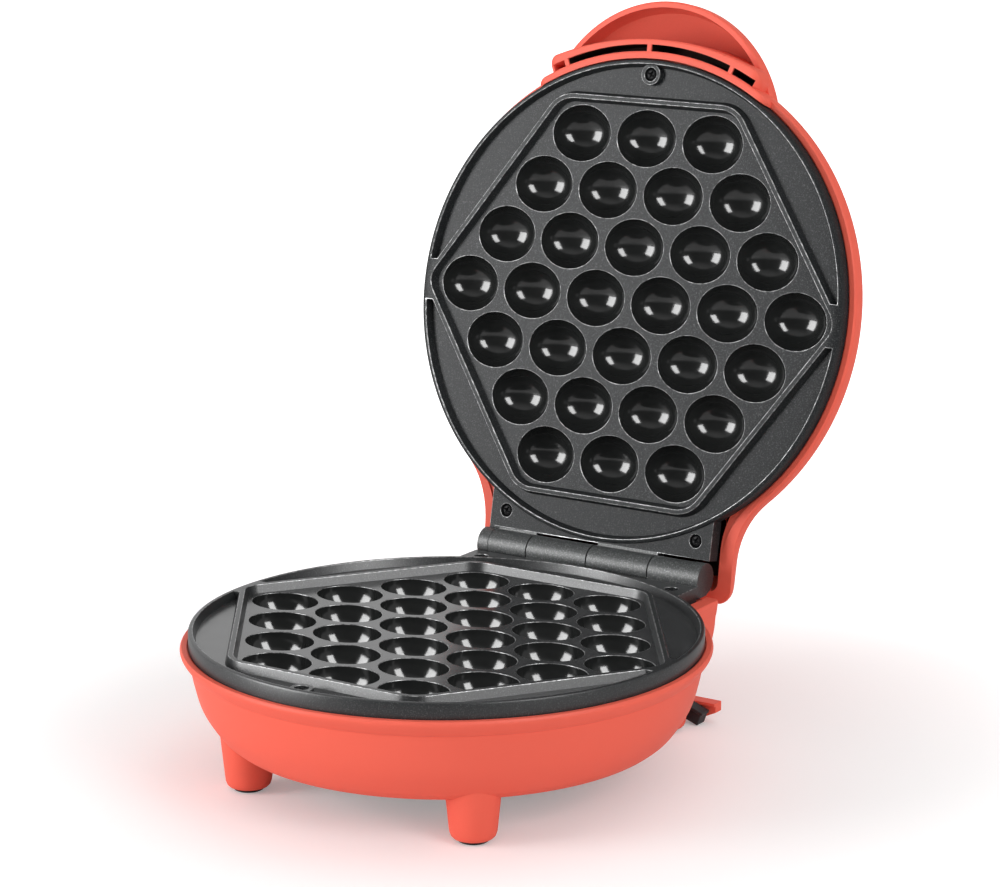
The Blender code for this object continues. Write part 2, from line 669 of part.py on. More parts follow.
def hollow_pocket(body, beyond, back, fillet):
    """The plate pocket down to its seat, then the throat through the shelf."""
    half = NECK_INNER_HALF
    pocket = [(-OVERRUN * 2, INNER_RADIUS, half, beyond), (SEAT_DEPTH, INNER_RADIUS, half, beyond)]
    cut(body, loft("pocket", neck_rings(pocket, fillet, POCKET_CORNER)))
    throat = [(depth, SHELF_RADIUS, half - THROAT_INSET, back - THROAT_INSET)
              for depth in (SEAT_DEPTH - OVERRUN, SEAT_DEPTH + SHELF_THICKNESS + OVERRUN)]
    cut(body, loft("throat", neck_rings(throat, fillet, POCKET_CORNER)))


def base_housing():
    outer = base_levels()
    body = base_skin()
    for _, x, y in LEG_PLACES:
        join(body, turned("leg", leg_profile(), 16, (x, y)))
    hollow_pocket(body, HINGE_REACH + EAR_RADIUS, BASE_NECK_REACH - WALL,
                  BASE_POCKET_FILLET)
    half, back = NECK_INNER_HALF, BASE_NECK_REACH - WALL
    inner = [(SEAT_DEPTH + SHELF_THICKNESS, outer[3][1] - WALL * 0.6, half, back)]
    for depth, radius, neck, reach in outer[3:7:2]:
        inner.append((depth, radius - WALL, min(half, neck - WALL), min(back, reach - WALL)))
    last = outer[6]
    inner.append((BASE_INNER_DEPTH, last[1] - WALL * 1.6, last[2] - WALL * 1.3,
                  last[3] - WALL * 1.3))
    cut(body, loft("hollow", neck_rings(inner, BASE_POCKET_FILLET, POCKET_CORNER)))
    cut(body, turned("opening", [
        (COVER_RADIUS - COVER_LIP, BASE_INNER_DEPTH - OVERRUN),
        (COVER_RADIUS - COVER_LIP, BASE_DEPTH - COVER_THICKNESS - SEAT_GAP),
        (COVER_RADIUS + SEAT_GAP, BASE_DEPTH - COVER_THICKNESS - SEAT_GAP),
        (COVER_RADIUS + SEAT_GAP, BASE_DEPTH + OVERRUN)], 32))
    bosses(body, BASE_INNER_DEPTH + BASE_FLOOR * 0.5, outer, BASE_NECK_FILLET,
           BASE_NECK_CORNER)
    return body


finish(base_housing(), "base_housing", BASE_PLACE, SHELL)


def foot_pad(x, y):
    top = LEG_END_DEPTH + SEAT_GAP
    return turned("pad", [(PAD_RADIUS, top), (PAD_RADIUS, FLOOR_DEPTH - PAD_HEIGHT * 0.3),
                          (PAD_RADIUS * 0.86, FLOOR_DEPTH)], 14, (x, y))


for label, x, y in LEG_PLACES:
    finish(foot_pad(x, y), "foot_pad_" + label, BASE_PLACE, RUBBER)


def cover_screw_places():
    reach = COVER_SCREW_REACH * math.sqrt(0.5)
    return [(sx * reach, sy * reach) for sx in (1, -1) for sy in (1, -1)]


def bottom_cover():
    body = turned("cover", [(COVER_RADIUS, BASE_DEPTH - COVER_THICKNESS), (COVER_RADIUS, BASE_DEPTH)], 32)
    for x, y in cover_screw_places():
        hole = SCREW_HEAD_RADIUS + SEAT_GAP
        cut(body, turned("hole", [(hole, BASE_DEPTH - COVER_THICKNESS - OVERRUN),
                                  (hole, BASE_DEPTH + OVERRUN)], 10, (x, y)))
    return body


finish(bottom_cover(), "bottom_cover", BASE_PLACE, COVER)
for number, (x, y) in enumerate(cover_screw_places(), 1):
    screw = turned("screw", [(SCREW_HEAD_RADIUS, BASE_DEPTH - COVER_THICKNESS),
                             (SCREW_HEAD_RADIUS, BASE_DEPTH - SEAT_GAP),
                             (SCREW_HEAD_RADIUS * 0.8, BASE_DEPTH)], 10, (x, y))
    finish(screw, "cover_screw_%d" % number, BASE_PLACE, BLACK_SCREW)


# parts inside the base
def terminal_block():
    top = BASE_INNER_DEPTH - SEAT_GAP - BLOCK_HEIGHT
    return box("block", (-BLOCK_WIDTH / 2, BLOCK_OFFSET - BLOCK_LENGTH / 2, top),
               (BLOCK_WIDTH / 2, BLOCK_OFFSET + BLOCK_LENGTH / 2, top + BLOCK_HEIGHT))


def thermal_fuse():
    depth = THERMOSTAT_DEPTH + FUSE_RADIUS
    ring = [(FUSE_OFFSET + FUSE_RADIUS * math.cos(math.tau * i / 12),
             depth + FUSE_RADIUS * math.sin(math.tau * i / 12)) for i in range(12)]
    return across("fuse", ring, -FUSE_LENGTH / 2, FUSE_LENGTH / 2)


finish(terminal_block(), "terminal_block", BASE_PLACE, CERAMIC)
finish(thermal_fuse(), "thermal_fuse", BASE_PLACE, CERAMIC)


# hinge pin
def hinge_pin():
    reach = TAB_HALF_WIDTH + PIN_OVERHANG
    ring = [(HINGE_REACH + PIN_RADIUS * math.cos(math.tau * i / 16),
             AXIS_DEPTH + PIN_RADIUS * math.sin(math.tau * i / 16)) for i in range(16)]
    return across("pin", ring, -reach, reach)


finish(hinge_pin(), "hinge_pin", BASE_PLACE, STEEL)


# cord bracket and gland
def cord_bracket():
    """Arm under the tail with a cross wing that the cord winds round."""
    top = BASE_DEPTH + SEAT_GAP
    arm = box("arm", (-ARM_HALF_WIDTH, ARM_START, top),
              (ARM_HALF_WIDTH, WING_BACK, top + ARM_HEIGHT))
    inner = WING_HALF_WIDTH - WING_SLANT
    end_low, low = WING_TOP + WING_END_HEIGHT, WING_TOP + WING_HEIGHT
    outline = [(-WING_HALF_WIDTH, WING_TOP), (WING_HALF_WIDTH, WING_TOP),
               (WING_HALF_WIDTH, end_low), (inner, low), (-inner, low),
               (-WING_HALF_WIDTH, end_low)]
    wing = loft("wing", [[(x, y, z) for x, z in outline] for y in (WING_FRONT, WING_BACK)])
    rise = box("rise", (-ARM_HALF_WIDTH, WING_FRONT, top + ARM_HEIGHT * 0.5),
               (ARM_HALF_WIDTH, WING_BACK - OVERRUN * 0.5, WING_TOP + OVERRUN))
    return join(join(arm, rise), wing)


def cord_gland():
    back = WING_FRONT - SEAT_GAP
    centre = GLAND_INSET - WING_HALF_WIDTH
    low = FLOOR_DEPTH - GLAND_CLEARANCE
    top = low - GLAND_HEIGHT
    half = GLAND_WIDTH / 2
    body = box("gland", (centre - half, back - GLAND_LENGTH, top), (centre + half, back, low))
    wide = half + GLAND_FLANGE
    flange = box("flange", (centre - wide, back - GLAND_LENGTH - GLAND_FLANGE,
                            top - GLAND_FLANGE_THICKNESS * 0.5),
                 (centre + wide, back, top + GLAND_FLANGE_THICKNESS * 0.5))
    return join(body, flange)


finish(cord_bracket(), "cord_bracket", BASE_PLACE, SHELL)
finish(cord_gland(), "cord_gland", BASE_PLACE, GLAND)


# lid housing with its grip
def lid_levels():
    span = LID_DEPTH - LEDGE_DEPTH
    return [(LEDGE_DEPTH + depth * span, radius * HOUSING_RADIUS, half * LID_NECK_HALF,
             reach * LID_NECK_REACH) for depth, radius, half, reach in LID_LEVELS_SHARE]


def neck_fall():
    """Cutter over the ledge that leaves the neck standing up beside the hinge tab."""
    start, end = PLATE_RADIUS * 0.62, PLATE_RADIUS * 0.92
    front, top = -HOUSING_RADIUS - OVERRUN, LEDGE_DEPTH - NECK_RISE - OVERRUN
    outline = [(front, top), (front, LEDGE_DEPTH)]
    for i in range(7):
        share = i / 6
        outline.append((start + (end - start) * share,
                        LEDGE_DEPTH - NECK_RISE * share * share * (3 - 2 * share)))
    outline.append((end + OVERRUN, top))
    reach = HOUSING_RADIUS + OVERRUN
    return across("fall", outline, -reach, reach)


def lip(inner, outer, half_angle, crest, flare=0.0, steps=12):
    """Curved lip that widens by flare towards its ends, which round down to the ledge.

    Its skirt runs into the dome.
    """
    round_angle = LIP_END_ROUND / outer
    root = inner + OVERRUN * 0.35
    turns = [half_angle - round_angle + round_angle * math.sin(math.pi / 2 * i / 3)
             for i in range(1, 4)]
    plain = [(half_angle - round_angle) * (2 * i / steps - 1) for i in range(steps + 1)]
    rings = []
    for turn in [-t for t in reversed(turns)] + plain + turns:
        beyond = max(abs(turn) - half_angle + round_angle, 0.0) / round_angle
        fall = 1 - math.sqrt(max(1 - beyond * beyond, 0.0))
        top = crest + (LEDGE_DEPTH + RIM_HEIGHT / 2 - crest) * fall
        wide = outer + flare * (turn / half_angle) ** 2
        reach = wide + (root - wide) * fall
        front = turn - math.pi / 2
        section = [(inner, top), (reach, top), (reach, LIP_SKIRT),
                   (LIP_FOOT_RADIUS, LIP_BOTTOM), (LIP_FOOT_RADIUS - WALL, LIP_BOTTOM)]
        rings.append([(r * math.cos(front), r * math.sin(front), z) for r, z in section])
    return loft("lip", rings)


def slot(start, end):
    middle, half = (start + end) / 2, (end - start) / 2
    front = -math.pi / 2 + middle
    outline = arc((0.0, 0.0), LIP_SLOT_OUTER, front - half, front + half, 8)
    outline += arc((0.0, 0.0), LIP_SLOT_INNER, front + half, front - half, 8)
    rings = [[(x, y, z) for x, y in outline] for z in (LIP_TOP - OVERRUN, LIP_TOP + SLOT_DEPTH)]
    return loft("slot", rings)


def grip():
    """Half-moon grip: a rounded edge that runs back up into the dome."""
    rings = []
    for depth, lean, radius in GRIP_LEVELS_SHARE:
        rings.append(circle(GRIP_RADIUS * radius, GRIP_START + (GRIP_TOP - GRIP_START) * depth,
                            GRIP_SIDES, (0.0, GRIP_LEAN * lean - GRIP_CENTRE)))
    return loft("grip", rings)


def grip_pocket():
    inner = GRIP_RADIUS - GRIP_WALL
    top = GRIP_START + GRIP_POCKET_DEPTH
    body = loft("pocket", [circle(inner, GRIP_START - OVERRUN, GRIP_SIDES, (0.0, -GRIP_CENTRE)),
                           circle(inner, GRIP_START + GRIP_EDGE_HEIGHT, GRIP_SIDES,
                                  (0.0, -GRIP_CENTRE)),
                           circle(inner * 0.90, top, GRIP_SIDES,
                                  (0.0, GRIP_POCKET_LEAN - GRIP_CENTRE))])
    reach = LIP_OUTER_RADIUS + GRIP_WALL * 0.2
    keep = turned("keep", [(reach, GRIP_START - OVERRUN * 2), (reach, top + OVERRUN)])
    return cut(body, keep)


def lid_skin():
    levels = lid_levels()
    levels.insert(0, (levels[0][0] - NECK_RISE,) + levels[0][1:])
    return cut(loft("lid", neck_rings(levels, LID_NECK_FILLET, LID_NECK_CORNER)), neck_fall())


def lid_housing():
    outer = lid_levels()
    body = lid_skin()
    join(body, grip())
    join(body, lip(INNER_RADIUS - OVERRUN, LIP_SLOT_INNER, LIP_ANGLE, LIP_TOP))
    join(body, lip(LIP_SLOT_INNER - OVERRUN * 0.5, LIP_OUTER_RADIUS, UPPER_LIP_ANGLE,
                   LIP_TOP + UPPER_LIP_DROP, UPPER_LIP_FLARE))
    half, back = NECK_INNER_HALF, LID_NECK_REACH - WALL
    hollow_pocket(body, back, back, LID_NECK_FILLET)
    inner = [(SEAT_DEPTH + SHELF_THICKNESS, outer[3][1] - WALL, half, back)]
    for depth, radius, neck, reach in outer[3:8:2] + outer[8:]:
        thick = WALL * (1.0 + 0.3 * depth / LID_DEPTH)
        neck_in = min(half, neck - WALL * 1.4)
        inner.append((depth - WALL * depth / LID_DEPTH, radius - thick * radius / outer[3][1],
                      neck_in, min(back, reach - thick * reach / LID_NECK_REACH)))
    cut(body, loft("hollow", neck_rings(inner, LID_NECK_FILLET, LID_INNER_CORNER)))
    bounds = [-UPPER_LIP_ANGLE + SLOT_RIB / LIP_SLOT_INNER, SLOT_TURN - SLOT_ANGLE, SLOT_TURN,
              SLOT_TURN + SLOT_ANGLE, UPPER_LIP_ANGLE - SLOT_RIB / LIP_SLOT_INNER]
    rib = SLOT_RIB / 2 / LIP_SLOT_INNER
    for start, end in zip(bounds[:-1], bounds[1:]):
        cut(body, slot(start + rib, end - rib))
    cut(body, grip_pocket())
    bosses(body, LID_DEPTH * 0.62, outer, LID_NECK_FILLET, LID_NECK_CORNER)
    for x in (-LENS_X, LENS_X):
        hole = LENS_RADIUS + SEAT_GAP
        cut(body, turned("hole", [(hole, LENS_TOP - LENS_HEIGHT - OVERRUN),
                                  (hole, LID_DEPTH + OVERRUN)], 14, (x, LENS_Y)))
    return body


finish(lid_housing(), "lid_housing", LID_PLACE, SHELL)


def lens(x):
    return turned("lens", [(LENS_RADIUS, LENS_TOP - LENS_HEIGHT), (LENS_RADIUS, LENS_TOP - LENS_TIP_ROUND),
                           (LENS_RADIUS * 0.7, LENS_TOP)], 14, (x, LENS_Y))


def lamp_board():
    low = LENS_TOP - LENS_HEIGHT - SEAT_GAP
    half, reach = LAMP_BOARD_WIDTH / 2, LAMP_BOARD_LENGTH / 2
    return box("board", (-half, LENS_Y - reach, low - LAMP_BOARD_THICKNESS),
               (half, LENS_Y + reach, low))


finish(lens(-LENS_X), "power_lens", LID_PLACE, LENS_RED)
finish(lens(LENS_X), "ready_lens", LID_PLACE, LENS_GREEN)
finish(lamp_board(), "lamp_board", LID_PLACE, COVER)
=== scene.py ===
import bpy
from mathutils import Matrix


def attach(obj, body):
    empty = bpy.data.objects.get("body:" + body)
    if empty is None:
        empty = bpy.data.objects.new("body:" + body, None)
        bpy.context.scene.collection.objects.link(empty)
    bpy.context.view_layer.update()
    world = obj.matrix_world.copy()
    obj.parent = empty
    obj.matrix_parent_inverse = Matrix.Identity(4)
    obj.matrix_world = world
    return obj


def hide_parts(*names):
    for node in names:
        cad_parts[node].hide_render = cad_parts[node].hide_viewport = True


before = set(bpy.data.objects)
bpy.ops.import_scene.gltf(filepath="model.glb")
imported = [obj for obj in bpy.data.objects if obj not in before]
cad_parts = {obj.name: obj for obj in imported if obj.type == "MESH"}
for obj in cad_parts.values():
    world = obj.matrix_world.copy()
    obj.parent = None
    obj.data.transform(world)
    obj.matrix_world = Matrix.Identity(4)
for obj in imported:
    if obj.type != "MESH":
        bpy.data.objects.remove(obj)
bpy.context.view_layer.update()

import math

import bmesh
import bpy
from mathutils import Matrix, Vector

# View. The cooker stands turned a third to the left of the camera, which looks at the hinge
# from a little above the open lower plate, through a long lens.
VIEW_CENTRE = Vector((0.019415, -0.0312, 0.132591))
VIEW_TURN = 33.293
VIEW_RISE = 13.319
VIEW_DISTANCE = 1.224547
VIEW_LENS = 115.66
SENSOR_WIDTH = 36.0


def add(name, data):
    made = bpy.data.objects.new(name, data)
    bpy.context.collection.objects.link(made)
    return made


def facing(turn, rise):
    """Direction from the cooker towards the camera or a lamp."""
    turn, rise = math.radians(turn), math.radians(rise)
    return Vector((math.sin(turn) * math.cos(rise), -math.cos(turn) * math.cos(rise),
                   math.sin(rise)))


def aim(made, turn, rise, reach):
    """Sets the camera or a lamp at its reach from the cooker and turns it to look there."""
    made.location = VIEW_CENTRE + facing(turn, rise) * reach
    made.rotation_mode = "QUATERNION"
    made.rotation_quaternion = (-facing(turn, rise)).to_track_quat("-Z", "Y")


camera = add("camera", bpy.data.cameras.new("camera"))
camera.data.lens = VIEW_LENS
camera.data.sensor_width = SENSOR_WIDTH
aim(camera, VIEW_TURN, VIEW_RISE, VIEW_DISTANCE)
bpy.context.scene.camera = camera
bpy.context.scene.view_settings.view_transform = "Standard"


# Shading shorthand. A wire is one output of a material's nodes, and sums on wires add the
# nodes that work them out.
class Wire:
    def __init__(self, tree, socket=None):
        self.tree, self.socket = tree, socket

    def node(self, kind, settings=None, inputs=None, output=0):
        """Adds a node: its settings first, then the values or links of its sockets."""
        made = self.tree.nodes.new("ShaderNode" + kind)
        for name, value in (settings or {}).items():
            setattr(made, name, value)
        for name, value in (inputs or {}).items():
            if isinstance(value, Wire):
                self.tree.links.new(value.socket, made.inputs[name])
            else:
                made.inputs[name].default_value = value
        return Wire(self.tree, made.outputs[output])

    def sum(self, operation, first, second):
        return self.node("Math", {"operation": operation}, {0: first, 1: second})

    def __add__(self, other):
        return self.sum("ADD", self, other)

    def __mul__(self, other):
        return self.sum("MULTIPLY", self, other)

    def __sub__(self, other):
        return self.sum("SUBTRACT", self, other)

    def __rsub__(self, other):
        return self.sum("SUBTRACT", other, self)

    __radd__ = __add__
    __rmul__ = __mul__

    def noise(self, scale, detail=2.0, roughness=0.5):
        """Cloudy pattern on this wire's places, about 0.5 on average."""
        return self.node("TexNoise", None, {"Vector": self, "Scale": scale, "Detail": detail,
                                            "Roughness": roughness}, "Fac")

    def ramp(self, low, high):
        """0 below low, 1 above high, and a soft step between them."""
        return self.node("MapRange", {"interpolation_type": "SMOOTHSTEP"},
                         {"Value": self, "From Min": low, "From Max": high})

    def blend(self, one, other):
        """One colour turning into another as this wire goes from 0 to 1."""
        return self.node("Mix", {"data_type": "RGBA"},
                         {0: self, 6: (*one, 1.0), 7: (*other, 1.0)}, 2)


class Finish:
    """A surface finish: a main shader with fixed values, and what varies over it."""

    def __init__(self, name, colour, roughness, metallic=0.0, specular=0.5, **fixed):
        self.material = bpy.data.materials.new(name)
        self.material.use_nodes = True
        self.material.diffuse_color = (*colour, 1.0)
        tree = self.material.node_tree
        self.shader = tree.nodes["Principled BSDF"]
        fixed.update({"Base Color": (*colour, 1.0), "Roughness": roughness,
                      "Metallic": metallic, "Specular IOR Level": specular})
        for name, value in fixed.items():
            self.shader.inputs[name.replace("_", " ")].default_value = value
        self.wire = Wire(tree)
        self.place = self.wire.node("TexCoord", output="Object")

    def feed(self, socket, wire):
        self.wire.tree.links.new(wire.socket, self.shader.inputs[socket])

    def bump(self, height, strength, distance):
        self.feed("Normal", self.wire.node("Bump", None, {
            "Height": height, "Strength": strength, "Distance": distance}, "Normal"))

    def tint(self, dark, light, *grain):
        """Varies the colour with a pattern of its own."""
        self.feed("Base Color", self.place.noise(*grain).blend(dark, light))

    def roughen(self, smooth, spread, *grain):
        """Varies the roughness with a pattern of its own."""
        self.feed("Roughness", smooth + self.place.noise(*grain) * spread)

    def mottle(self, grain, dark, light, smooth, spread, step=None, bump=None):
        """Varies colour and roughness with one pattern, and raises its grains a little."""
        pattern = self.place.noise(*grain)
        self.feed("Base Color", (pattern.ramp(*step) if step else pattern).blend(dark, light))
        self.feed("Roughness", smooth + pattern * spread)
        if bump:
            self.bump(pattern, *bump)


# Studio. A seamless white sweep between pale walls, with two upright soft boxes, one low on
# the left and one higher on the right, whose gleams show in the glossy cups, and a weak lamp
# high up behind.
FLOOR_SIZE = 6.0
FLOOR_GLOW = (0.24, 0.68)
SHADOW_REACH = (0.12, 0.45)
ROOM_LIGHT = 0.53
ROOM_DARK = 0.10
BOX_REACH = 1.60
GLEAM_REACH = BOX_REACH - 0.01
# Name, turn, rise of its light and of its gleam, width, height, power, brightness of its gleam.
SOFT_BOXES = (("left", -42.0, 7.0, 17.0, 0.74, 1.02, 17.5, 15.0),
              ("right", 74.0, 24.0, 36.0, 0.72, 0.98, 7.0, 15.0))
TOP_LAMP = ("top", 150.0, 72.0, 72.0, 1.30, 1.00, 3.0, 0.0)


def lamp(name, turn, rise, width, height, power, reach=BOX_REACH):
    data = bpy.data.lights.new(name, "AREA")
    data.shape = "RECTANGLE"
    data.size, data.size_y, data.energy = width, height, power
    made = add(name, data)
    aim(made, turn, rise, reach)
    made.visible_camera = False
    return made


for label, turn, rise, gleam_rise, width, height, power, gleam in SOFT_BOXES + (TOP_LAMP,):
    lamp(label + "_light", turn, rise, width, height, power).visible_glossy = False
    if gleam:
        lamp(label + "_gleam", turn, gleam_rise, width, height, gleam * math.pi * width * height,
             GLEAM_REACH).visible_diffuse = False

floor_shape = bmesh.new()
bmesh.ops.create_grid(floor_shape, x_segments=2, y_segments=2, size=FLOOR_SIZE)
floor_mesh = bpy.data.meshes.new("floor")
floor_shape.to_mesh(floor_mesh)
floor_shape.free()
floor = add("floor", floor_mesh)
floor_finish = Finish("white_sweep", (0.86, 0.855, 0.855), 0.9)
sweep = floor_finish.wire
seen = sweep.node("LightPath", output="Is Camera Ray")
away = sweep.node("VectorMath", {"operation": "LENGTH"}, {0: floor_finish.place},
                  "Value").ramp(*SHADOW_REACH)
glow = sweep.node("Emission", None, {"Color": (1.0, 1.0, 1.0, 1.0),
                                     "Strength": seen * (away * FLOOR_GLOW[1] + FLOOR_GLOW[0])})
both = sweep.node("AddShader", None, {0: Wire(sweep.tree, floor_finish.shader.outputs[0]), 1: glow})
sweep.tree.links.new(both.socket, sweep.tree.nodes["Material Output"].inputs["Surface"])
floor_mesh.materials.append(floor_finish.material)

# The room behind the camera is dim, as in a real studio, so only the sweep behind the cooker,
# the ceiling and the side walls show as white in metal and gloss. A patch of it has its turn and
# rise, where its edge starts and ends, and how white it is.
CEILING = (0.50, 0.92, 0.65)
ROOM_PATCHES = ((-135.0, 10.0, 0.78, 0.92, 1.0), (-95.0, 22.0, 0.42, 0.75, 0.60),
                (108.0, 20.0, 0.62, 0.88, 0.50))

world = bpy.data.worlds.new("room")
world.use_nodes = True
bpy.context.scene.world = world
sky = Wire(world.node_tree)
outward = sky.node("TexCoord", output="Object")
shown = sky.node("SeparateXYZ", None, {0: outward}, "Z").ramp(*CEILING[:2]) * CEILING[2]
shown = sky.sum("MAXIMUM", shown, ROOM_DARK)
for turn, rise, start, full, white in ROOM_PATCHES:
    patch = sky.node("VectorMath", {"operation": "DOT_PRODUCT"},
                     {0: outward, 1: facing(turn, rise)}, "Value").ramp(start, full) * white
    shown = sky.sum("MAXIMUM", shown, patch)
glossy, through, direct = (sky.node("LightPath", output="Is %s Ray" % kind)
                           for kind in ("Glossy", "Transmission", "Camera"))
mirrored = sky.sum("MAXIMUM", glossy, through)
strength = sky.sum("MAXIMUM", direct, ROOM_LIGHT + mirrored * (shown - ROOM_LIGHT))
background = sky.tree.nodes["Background"]
background.inputs["Color"].default_value = (1.0, 1.0, 1.0, 1.0)
sky.tree.links.new(strength.socket, background.inputs["Strength"])

# Base housing. A bowl of moulded coral plastic with a stepped rim, a square tail under the
# hinge and four short legs moulded on. The lower plate drops into the pocket in its top.
PLATE_RADIUS = 0.099975
HINGE_REACH = PLATE_RADIUS + 0.0080
HINGE_POINT = Vector((0.0, 0.0688, 0.0605))
HALF_GAP = 0.0006
OPEN_ANGLE = math.radians(101.7)
SEAT_GAP = 0.0003
SEAT_DEPTH = 0.0077
LEDGE_DEPTH = 0.0062
INNER_RADIUS = PLATE_RADIUS + 0.0006
HOUSING_RADIUS = 0.103255
NECK_INNER_HALF = 0.0552
WALL = 0.0026
OVERRUN = 0.0020
FILLET_SHARE = 0.90
BASE_DEPTH = 0.0416
FLOOR_DEPTH = 0.0599
BASE_NECK_HALF = 0.0613
BASE_NECK_REACH = HINGE_REACH - 0.0018
BASE_RIM = (
    (0.000, 0.994, 0.995, 1.000), (0.034, 1.000, 1.000, 1.000), (0.085, 0.993, 0.997, 1.000),
    (0.172, 0.971, 0.991, 0.998))
BASE_BOWL = (
    (0.184, 0.9640, 0.9885, 0.997), (0.390, 0.950, 0.980, 0.991), (0.644, 0.924, 0.952, 0.975),
    (0.884, 0.872, 0.898, 0.946), (0.970, 0.841, 0.872, 0.930), (1.000, 0.826, 0.850, 0.920))
LEG_PLACES = (("front_left", 0.0520, -0.0595), ("front_right", -0.0520, -0.0595),
              ("rear_left", 0.0450, 0.0905), ("rear_right", -0.0450, 0.0905))
LEG_PROFILE = ((0.0068, 0.0585), (0.0076, 0.0582), (0.0084, 0.0574), (0.0089, 0.0560),
               (0.0091, 0.0545), (0.0112, 0.0335))
PAD_HOLE = (0.0062, 0.0574)
POCKET_ROUND = 0.0010
TIGHT_FILLET = 0.0012
BASE_OPENING = ((0.0525, 0.0360), (0.0525, 0.0396), (0.0623, 0.0396), (0.0623, 0.0440))
TINY_EDGE = 1e-5
SHARP_ANGLE = math.radians(30.0)
# Pieces are modelled round the axis of their plate, whose face lies at depth 0, and these turn
# and move them to where they stand in the photograph.
PLACES = {
    "base": Matrix.Translation(HINGE_POINT) @ Matrix.Translation((0.0, -HINGE_REACH, -HALF_GAP))
            @ Matrix.Rotation(math.pi, 4, "Y"),
    "lid": Matrix.Translation(HINGE_POINT) @ Matrix.Rotation(-OPEN_ANGLE, 4, "X")
           @ Matrix.Translation((0.0, -HINGE_REACH, HALF_GAP))}


def raw(name, shape):
    """Turns a finished bmesh into an object, with its faces pointing out."""
    bmesh.ops.remove_doubles(shape, verts=shape.verts, dist=1e-7)
    bmesh.ops.recalc_face_normals(shape, faces=shape.faces)
    mesh = bpy.data.meshes.new(name)
    shape.to_mesh(mesh)
    shape.free()
    return add(name, mesh)


def loft(name, rings):
    """Closed body bridged through rings of equal length."""
    shape = bmesh.new()
    loops = []
    for ring in rings:
        verts = [shape.verts.new(point) for point in ring]
        loops.append([shape.edges.new((verts[i - 1], verts[i])) for i in range(len(verts))])
    for lower, upper in zip(loops[:-1], loops[1:]):
        bmesh.ops.bridge_loops(shape, edges=lower + upper)
    for loop in (loops[0], loops[-1]):
        bmesh.ops.contextual_create(shape, geom=loop)
    return raw(name, shape)


def turned(name, profile, sides=64, centre=(0.0, 0.0)):
    """Round body spun from (radius, depth) pairs that start and end off its axis."""
    shape = bmesh.new()
    points = [(0.0, profile[0][1])] + list(profile) + [(0.0, profile[-1][1])]
    verts = [shape.verts.new((centre[0] + radius, centre[1], depth)) for radius, depth in points]
    edges = [shape.edges.new(pair) for pair in zip(verts[:-1], verts[1:])]
    bmesh.ops.spin(shape, geom=verts + edges, cent=(centre[0], centre[1], 0.0), axis=(0, 0, 1),
                   angle=math.tau, steps=sides, use_merge=True)
    return raw(name, shape)


def rod(name, radius, low, high, sides=40, centre=(0.0, 0.0)):
    """Straight round bar, also as the tool for a hole."""
    return turned(name, [(radius, low), (radius, high)], sides, centre)


def block(name, low, high):
    shape = bmesh.new()
    bmesh.ops.create_cube(shape, size=1.0)
    bmesh.ops.scale(shape, vec=Vector(high) - Vector(low), verts=shape.verts)
    bmesh.ops.translate(shape, vec=(Vector(low) + Vector(high)) / 2, verts=shape.verts)
    return raw(name, shape)


def plank(name, centre, half, low, high):
    """Block about a place, between two depths."""
    return block(name, (centre[0] - half[0], centre[1] - half[1], low),
                 (centre[0] + half[0], centre[1] + half[1], high))


def combine(target, tool, operation):
    """Cuts or joins one body with another and keeps the plain result."""
    change = target.modifiers.new("combine", "BOOLEAN")
    change.operation = operation
    change.solver = "EXACT"
    change.object = tool
    bpy.context.view_layer.update()
    graph = bpy.context.evaluated_depsgraph_get()
    result = bpy.data.meshes.new_from_object(target.evaluated_get(graph))
    target.modifiers.clear()
    target.data = result
    bpy.data.objects.remove(tool, do_unlink=True)
    return target


def carve(target, tool):
    return combine(target, tool, "DIFFERENCE")


def join(target, tool):
    return combine(target, tool, "UNION")


def arc(centre, radius, start, end, steps):
    return [(centre[0] + radius * math.cos(start + (end - start) * i / steps),
             centre[1] + radius * math.sin(start + (end - start) * i / steps))
            for i in range(steps + 1)]


def necked(radius, half, reach, fillet, corner, steps=150):
    """Housing outline: a circle that runs into the straight tail at the hinge. The fillet
    between them shrinks where the tail is too short for it."""
    room = (reach * FILLET_SHARE) ** 2 - radius ** 2 + half ** 2
    fillet = max(min(fillet, room / (2 * (radius - half))), 0.0004)
    height = math.sqrt((radius + fillet) ** 2 - (half + fillet) ** 2)
    lean = math.atan2(height, half + fillet)
    corner = min(corner, (reach - height) / 2)
    right = arc((half - corner, reach - corner), corner, math.pi / 2, 0.0, 6)
    right += arc((half + fillet, height), fillet, math.pi, math.pi + lean, 10)
    front = arc((0.0, 0.0), radius, lean, -math.pi - lean, steps)
    return right + front[1:-1] + [(-x, y) for x, y in reversed(right)]


def necked_rings(levels, fillet, corner):
    return [[(x, y, level[0]) for x, y in necked(*level[1:], fillet, corner)] for level in levels]


def cut_pocket(made, reach, fillet):
    """Cuts the seat that a cooking plate drops into."""
    levels = [(z, INNER_RADIUS, NECK_INNER_HALF, reach) for z in (-0.004, SEAT_DEPTH)]
    carve(made, loft("pocket", necked_rings(levels, fillet, POCKET_ROUND)))


def scaled(levels, low, high, *sizes):
    """Turns shares of a housing's depth and sizes into lengths."""
    return [(low + level[0] * (high - low),) + tuple(share * size for share, size
                                                     in zip(level[1:], sizes)) for level in levels]


